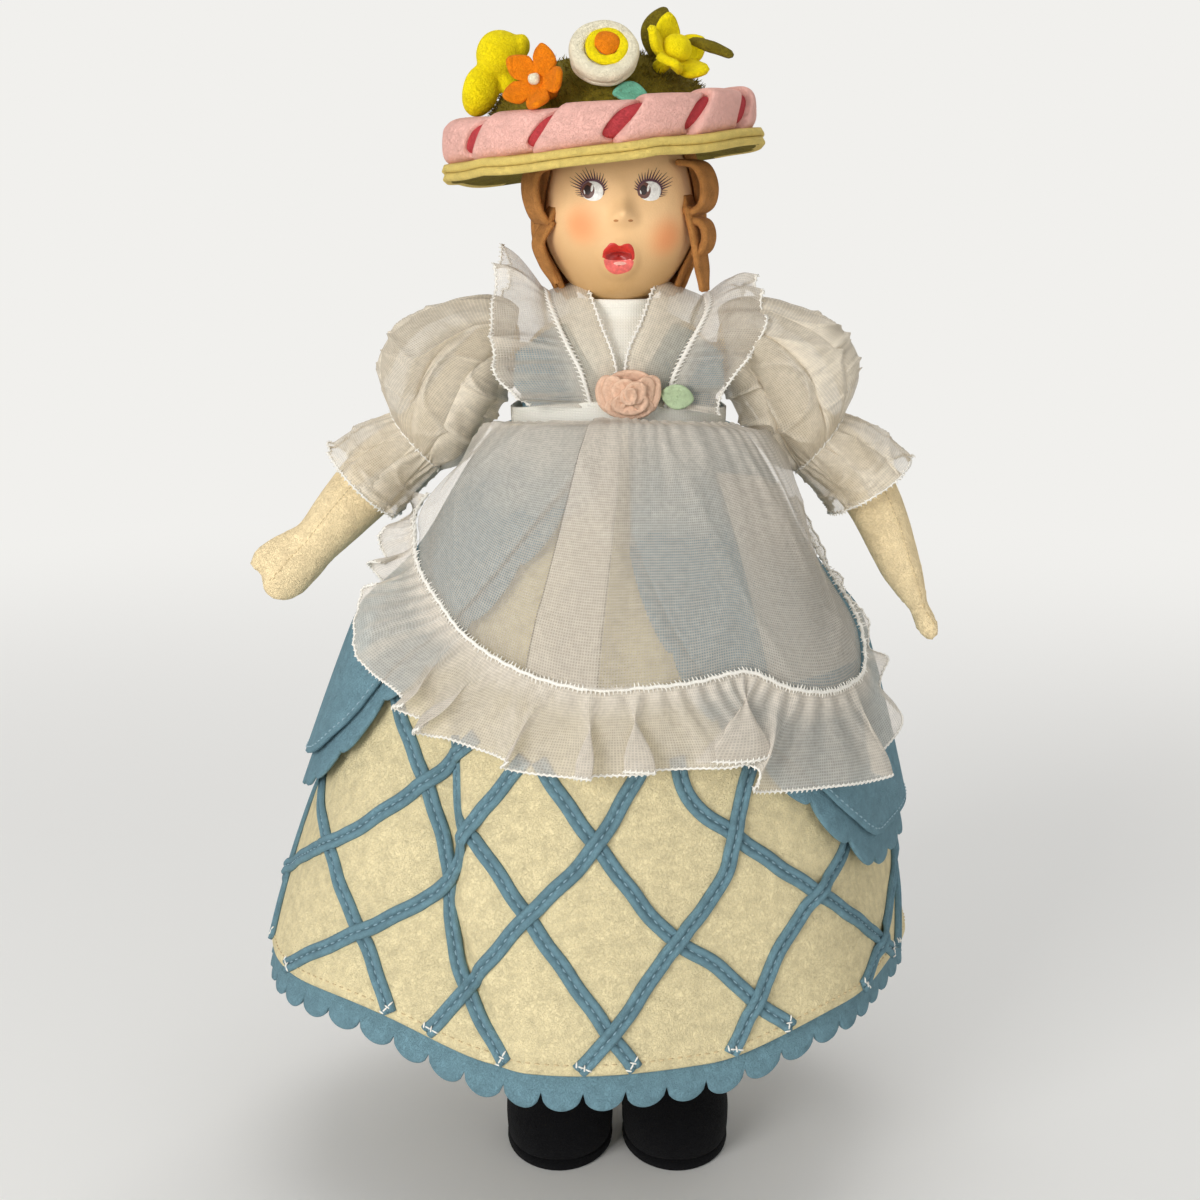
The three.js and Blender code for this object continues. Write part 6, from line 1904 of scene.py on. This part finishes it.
class DollHat(bpy.types.Operator):
    """Two-layer yellow brim, plush olive crown and a wound pink band"""

    bl_idname = "doll.hat"
    bl_label = "Hat"

    def execute(self, context):
        def brim(low):
            def shape(u, v):
                turn = u * math.tau
                hole = np.stack([-HAT_X + HAT_HOLE_R * np.cos(turn), HEAD_Y + HAT_HOLE_R * np.sin(turn)], -1)
                reach = BRIM_R + 0.25 * np.sin(5 * turn + 1) + 0.18 * np.sin(13 * turn)
                rim = np.stack([reach * np.cos(turn), reach * np.sin(turn)], -1)
                flat = mix(hole, rim, v[..., None])
                wave = -np.abs(0.45 * np.sin(3 * turn + 0.8) + 0.2 * np.sin(8 * turn)) * v**3 - 0.25 * v**4
                wave = wave - 2.4 * smooth(np.sin(turn), -0.3, 0.9) * v**2
                return np.concatenate([flat, (low + BRIM_T + wave)[..., None]], -1)

            return felt_layer(grid(200, 18, shape, True), BRIM_T + 0.2, True)

        under = on_hat(brim(-2 * BRIM_T - GAP))
        lining = make("brim_under_layer", under, ("yellow_felt", "olive_felt"))
        # Faces of the brim's underside take the dark olive felt: painted shade under the brim
        for face in lining.data.polygons:
            middle = np.array(face.center) * 1000 - MIDDLE - [HAT_X, 0, HAT_Z]
            local = HAT_TURN.T @ middle
            shaded_underside = (HAT_TURN.T @ np.array(face.normal))[2] < -0.7
            if shaded_underside and math.hypot(local[0], local[1]) < BRIM_R - 1.2:
                face.material_index = 1
        wear(lining, "head_body", "yellow_felt", "brim_lining")
        top = sew("head_body", "brim_top_layer", on_hat(brim(-BRIM_T)), "yellow_felt", "brim_top")

        def dome(u, v):
            turn, share = u * math.tau, v * CROWN_TOP
            r, z = crown_at(share, CROWN_R, CROWN_H)
            lump = 0.35 * np.sin(4 * turn + 2 * share) * np.sin(2 * share)
            return np.stack([(r + lump) * np.cos(turn), (r + lump) * np.sin(turn), z + GAP], -1)

        points = grid(120, 40, dome, True)
        crown = felt_layer(points[:, ::-1], FELT, True)
        rng = np.random.default_rng(7)
        count = 5200
        u, v = rng.random(count), np.arcsin(rng.random(count) * 0.97) / CROWN_TOP
        roots = dome(u, v)
        out = unit(roots * [1, 1, 1.6])
        way = unit(out + rng.normal(0, 0.75, (count, 3)))
        reach = rng.uniform(0.7, 1.7, count)[:, None]
        side = unit(np.cross(way, rng.normal(0, 1, (count, 3)))) * 0.09
        tip = roots + way * reach + out * 0.1
        bend = roots + way * reach * 0.5 + out * 0.22
        nap = np.stack([roots - side, roots + side, bend + side * 0.8, bend - side * 0.8, tip], 1)
        nap = nap.reshape(-1, 3)
        blade = ([0, 1, 2, 3], [3, 2, 4])
        nap_faces = [[5 * n + k for k in face] for n in range(count) for face in blade]
        sew("head_body", "plush_crown", on_hat(crown), "olive_felt", "hat_crown")
        sew("head_body", "crown_nap", on_hat((nap, nap_faces)), "olive_felt", outward=False)
        self.band()
        return {"FINISHED"}

    def band(self):
        """A pink felt ribbon wound round a roll of darker rose felt, painted shade that shows in the gaps
        between the wraps.
        """
        wraps, around = 12, 44
        deep, tall, ply = 4.3, 4.3, 1.0
        middle = CROWN_R + GAP + deep
        roll = circle(around)
        out, high = squared(roll, 0.65)

        def skin(turn, lift):
            r = middle + (deep - ply + lift) * out
            z = tall - 0.8 + (tall - ply + lift) * high
            return np.stack(np.broadcast_arrays(r * np.sin(turn), -r * np.cos(turn), z), -1)

        # The roll under the wraps is painted shade, seen dark through the gaps between the wraps
        core = skin(circle(120)[:, None], -0.25).reshape(-1, 3), tube_faces(120, around, True)
        sew("head_body", "band_core", on_hat(core), "rose_felt")
        # Across each wrap: shares from its raised start to its tucked end, and how high it lies on the roll
        share = np.array([0, 0, 0.015, 0.06, 0.15, 0.3, 0.45, 0.6, 0.75, 0.87, 0.95, 0.985, 1, 1])[:, None]
        lift = np.array([-0.3, 0.7, 1.15, 1.35, 1.3, 1.2, 1.05, 0.9, 0.75, 0.65, 0.55, 0.45, 0.2, -0.3])
        lift = lift[:, None]
        shells = []
        for k in range(wraps):
            gap = 0.28 + 0.05 * math.sin(2.3 * k)
            above = np.where(roll > 3.6, roll - math.tau, roll)
            open_ = gap * np.cos(np.clip((above - 0.2) / 1.6, -1, 1) * math.pi / 2)
            place = mix(-0.03, 1.0 - open_, share)
            turn = (k + place + 0.22 * high + 0.04 * math.sin(5.1 * k)) / wraps * math.tau + math.radians(12)
            shells.append((skin(turn, lift).reshape(-1, 3), tube_faces(len(share), around, False)))
        band = sew("head_body", "wound_band", on_hat(merged(*shells)), "pink_felt", "hat_band")


class DollFlowers(bpy.types.Operator):
    """Felt flowers and leaves on the crown of the hat"""

    bl_idname = "doll.flowers"
    bl_label = "Hat flowers"

    def execute(self, context):
        self.yellow_bud()
        self.orange_flower()
        self.disc_flower()
        self.yellow_flower()
        self.leaves()
        return {"FINISHED"}

    def lump(self, halves, centre, dent, seed):
        """A fat felt petal: a soft pillow, dented along its middle."""
        turn = circle(26)
        rings = []
        for rise in np.linspace(-1.5, 1.5, 16):
            soft = 1 + 0.05 * np.sin(3 * turn + seed + 2 * rise) - dent * np.abs(np.cos(turn)) ** 6
            x, y = np.cos(rise) * np.cos(turn) * soft, np.cos(rise) * np.sin(turn) * soft
            rings.append(np.stack([x, y, np.full(len(turn), math.sin(rise))], -1) * halves + centre)
        return loft(rings)

    def stalk(self, length, radius):
        path = np.stack([0.2 * np.sin(np.linspace(0, 2, 8)), np.zeros(8), np.linspace(0.1, length, 8)], -1)
        return rope(path, radius, 10)

    def yellow_bud(self):
        """A stuffed bud of two fat lobes that leans out over the side of the hat."""
        upper, lower = np.array([-24.0, -6.5, 236.3]), np.array([-28.0, -7.0, 229.0])
        path = dense_curve([(-19, -6, 226), (-22, -6.5, 230), upper])
        stem = rope(along(path, np.linspace(0, 1, 10))[0], 2.0, 12)
        lobe = moved(self.lump((3.7, 3.6, 5.3), (0, 0, 0), 0.0, 1.9), spin("Y", 16), lower)
        bud = merged(stem, self.lump((4.9, 4.6, 4.6), upper, 0.0, 0.4), lobe,
                     self.lump((1.7, 2.6, 2.5), upper + [4.4, 0.4, 1.4], 0.0, 1.0))
        shown = make("fat_yellow_bud", bud, "bright_yellow_felt")
        joined(shown, 0.45)
        wear(shown, "head_body", "bright_yellow_felt", "yellow_bud")

    def cut_flower(self, petals, reach, cup, ruffle, thick):
        """One piece of felt cut to petals and drawn up in the middle."""
        def shape(u, v):
            turn = u * math.tau
            lobe = np.abs(np.cos(turn * petals / 2)) ** 0.36
            r = mix(0.03, 1, v) * reach * mix(0.52, 1.0, lobe)
            z = cup * (r / reach) ** 1.6 + ruffle * (r / reach) ** 2 * np.sin(petals * turn + 1.2)
            z = z + 0.5 * lobe * v**2
            return np.stack([r * np.cos(turn), r * np.sin(turn), z], -1)

        return felt_layer(grid(110, 12, shape, True), thick, True)

    def orange_flower(self):
        place, lift = (245, 0.62, -0.3), 7.2
        petals = moved(self.cut_flower(5, 6.0, 1.8, 0.9, 1.2), spin("Z", 12), (0, 0, lift - 0.6))
        flower = stand_on(merged(self.stalk(lift, 1.4), petals), *place)
        sew("head_body", "cut_orange_flower", flower, "orange_felt", "orange_flower")
        bead = self.lump((1.25, 1.2, 1.05), (0, 0, lift + 0.6), 0.1, 0.5)
        sew("head_body", "orange_flower_bead", stand_on(bead, *place), "white_felt", "orange_bead")

    def disc_flower(self):
        place = 277, 0.91, -0.42
        turn, section = circle(80)[:, None], circle(18)

        def roll(radius, thick, tall, z, ripple):
            soft = 1 + ripple * np.sin(5 * turn + 1) + 0.5 * ripple * np.sin(9 * turn)
            out, high = squared(section, 0.8)
            r = radius + thick * out * soft
            points = np.stack([r * np.cos(turn), r * np.sin(turn), z + tall * high * soft], -1)
            return points.reshape(-1, 3), tube_faces(len(turn), len(section), True)

        back = self.lump((6.2, 6.2, 1.3), (0, 0, 4.9), 0.0, 0.3)
        rolls = roll(5.3, 1.6, 1.5, 5.6, 0.03), roll(5.2, 1.5, 0.9, 3.9, 0.04)
        white = merged(self.stalk(4.6, 1.9), back, *rolls)
        yellow = moved(roll(3.2, 1.05, 0.75, 6.6, 0.05), np.eye(3), (-0.3, 0.6, 0))
        core = self.lump((2.7, 2.5, 1.1), (-0.9, 0.7, 7.0), 0.0, 2.0)
        rows = (
            ("rolled_white_disc", white, "white_felt", "white_disc_flower"),
            ("rolled_yellow_ring", yellow, "bright_yellow_felt", "disc_flower_ring"),
            ("felt_orange_core", core, "orange_felt", "disc_flower_core"),
        )
        for name, shell, finish, node in rows:
            sew("head_body", name, stand_on(shell, *place), finish, node)

    def yellow_flower(self):
        cup = moved(self.cut_flower(5, 6.6, 2.4, 0.7, 1.6), spin("Z", 20), (0, 0, 4.8))
        inner = self.lump((3.2, 3.0, 2.4), (0, 0, 6.6), 0.15, 1.0)
        flower = stand_on(merged(self.stalk(5.6, 1.5), cup, inner), 318, 0.82, -0.35)
        sew("head_body", "ruffled_yellow_flower", flower, "bright_yellow_felt", "yellow_flower")

    def leaves(self):
        def blade(long, wide, thick, bend):
            def shape(u, v):
                turn, r = u * math.tau, mix(0.03, 1, v)
                x = long * r * np.cos(turn)
                y = wide * r * np.sin(turn) * (1 - 0.35 * np.cos(turn) ** 2)
                return np.stack([x, y, 0.3 * np.abs(y) - bend * x**2], -1)

            return felt_layer(grid(44, 9, shape, True), thick, True)

        upright = spin("Y", -90)
        mint = moved(blade(3.4, 2.2, 0.6, 0.03), spin("Z", 78), (0.4, 0, 0.9))
        sew("head_body", "mint_felt_leaf", stand_on(mint, 288, 0.5), "mint_felt", "mint_leaf")
        olive = moved(blade(4.8, 3.1, 1.1, 0.015), spin("Z", 72) @ upright, (0, 0, 5.0))
        sew("head_body", "olive_felt_leaf", stand_on(olive, 342, 1.1), "olive_felt", "olive_leaf")
        path = dense_curve([(11.5, -9, 233), (14, -10.5, 238), (18, -11.5, 237.4), (22.5, -12, 235.6)])
        t = np.linspace(0, 1, 24)
        stem = rope(along(path, t)[0], np.interp(t, [0, 0.7, 0.95, 1], [0.9, 1.2, 0.9, 0.3]), 12)
        sew("head_body", "olive_felt_stem", stem, "olive_felt", "olive_stem")


# Each lamp's place in metres, its power and its width
LAMPS = (
    ("key_light", (-0.75, -1.05, 0.45), 10.8, 0.6), ("fill_light", (0.75, -1.05, 0.25), 3.3, 0.9),
    ("top_light", (0.0, 0.1, 1.2), 2.8, 0.8), ("back_light", (0.3, 1.0, 0.7), 3.0, 0.8),
)
LAMP_TARGET = Vector((0, 0, 0.12))
CAMERA_PLACE = (-3.9, -430.0, 222.0)
CAMERA_NOD = 13.04
FLOOR_HALF = 4


class DollStage(bpy.types.Operator):
    """Pale floor, soft studio light and the camera"""

    bl_idname = "doll.stage"
    bl_label = "Stage"

    def execute(self, context):
        scene = context.scene
        scene.view_settings.view_transform = "Standard"
        pale = (*linear("#F1F0ED"), 1.0)
        self.room(scene, pale)
        self.floor(scene, pale)
        for name, spot, watts, width in LAMPS:
            lamp = bpy.data.lights.new(name, "AREA")
            lamp.energy = watts
            lamp.size = width
            holder = bpy.data.objects.new(name, lamp)
            holder.location = spot
            holder.rotation_mode = "QUATERNION"
            holder.rotation_quaternion = (LAMP_TARGET - Vector(spot)).to_track_quat("-Z", "Y")
            scene.collection.objects.link(holder)

        camera = bpy.data.cameras.new("doll_camera")
        camera.sensor_width = 36.0
        camera.lens = scene.doll_sizes.camera_lens
        holder = bpy.data.objects.new("doll_camera", camera)
        holder.location = Vector((MIDDLE + CAMERA_PLACE) * 0.001)
        holder.rotation_euler = (math.radians(90 - CAMERA_NOD), 0, 0)
        scene.collection.objects.link(holder)
        scene.camera = holder
        return {"FINISHED"}

    def room(self, scene, pale):
        """A pale backdrop that lights the doll only softly."""
        scene.world = bpy.data.worlds.new("pale_studio")
        scene.world.use_nodes = True
        tree = scene.world.node_tree
        tree.nodes.clear()
        sight, gloss, through = (add(tree, "ShaderNodeLightPath", out=f"Is {ray} Ray")
                                 for ray in ("Camera", "Glossy", "Transmission"))
        seen = add(tree, "ShaderNodeMath", {0: sight, 1: gloss}, operation="MAXIMUM")
        seen = add(tree, "ShaderNodeMath", {0: seen, 1: through}, operation="MAXIMUM")
        glow = add(tree, "ShaderNodeBackground", {"Color": (1, 1, 1, 1), "Strength": 0.38})
        paper = add(tree, "ShaderNodeBackground", {"Color": pale, "Strength": 1.0})
        both = add(tree, "ShaderNodeMixShader", {0: seen, 1: glow, 2: paper})
        add(tree, "ShaderNodeOutputWorld", {0: both})

    def floor(self, scene, pale):
        """A sheet of pale paper that fades into the backdrop."""
        mesh = bpy.data.meshes.new("floor")
        corners = [(x * FLOOR_HALF, y * FLOOR_HALF, 0) for x, y in ((-1, -1), (1, -1), (1, 1), (-1, 1))]
        mesh.from_pydata(corners, [], [(0, 1, 2, 3)])
        floor = bpy.data.objects.new("floor", mesh)
        scene.collection.objects.link(floor)
        made, tree, shader = blank("pale_paper")
        give(tree, shader, {"Base Color": pale, "Roughness": 0.9})
        where = add(tree, "ShaderNodeTexCoord", out="Object")
        off = add(tree, "ShaderNodeVectorMath", {0: where}, out="Value", operation="LENGTH")
        far = add(tree, "ShaderNodeMapRange", {0: off, 1: 0.22, 2: 0.75}, interpolation_type="SMOOTHSTEP")
        sight = add(tree, "ShaderNodeLightPath", out="Is Camera Ray")
        seen = add(tree, "ShaderNodeMath", {0: far, 1: sight}, operation="MULTIPLY")
        glow = add(tree, "ShaderNodeEmission", {"Color": pale, "Strength": 1.0})
        both = add(tree, "ShaderNodeMixShader", {0: seen, 1: shader.outputs[0], 2: glow})
        give(tree, node_of(tree, "OUTPUT_MATERIAL"), {"Surface": both})
        mesh.materials.append(made)


OPERATORS = (
    DollStage, DollTorso, DollLegs, DollArms, DollBodice, DollSkirt, DollLattice, DollOverskirt, DollApron,
    DollFrills, DollSleeves, DollRose, DollHead, DollHair, DollHat, DollFlowers,
)


class DollPanel(bpy.types.Panel):
    """Lists the doll's pieces, its sizes and its colours"""

    bl_idname = "VIEW3D_PT_doll"
    bl_label = "Cloth Doll"
    bl_space_type = "VIEW_3D"
    bl_region_type = "UI"
    bl_category = "Doll"

    def draw(self, context):
        for operator in OPERATORS:
            self.layout.operator(operator.bl_idname)
        for group in (context.scene.doll_sizes, context.scene.doll_colours):
            box = self.layout.box()
            for name in group.__annotations__:
                box.prop(group, name)


CLASSES = (DollSizes, DollColours, *OPERATORS, DollPanel)


def register():
    for one in CLASSES:
        bpy.utils.register_class(one)
    bpy.types.Scene.doll_sizes = PointerProperty(type=DollSizes)
    bpy.types.Scene.doll_colours = PointerProperty(type=DollColours)


def unregister():
    del bpy.types.Scene.doll_colours
    del bpy.types.Scene.doll_sizes
    for one in reversed(CLASSES):
        bpy.utils.unregister_class(one)


def main():
    register()
    for operator in OPERATORS:
        group, name = operator.bl_idname.split(".")
        getattr(getattr(bpy.ops, group), name)()


if __name__ == "__main__":
    main()
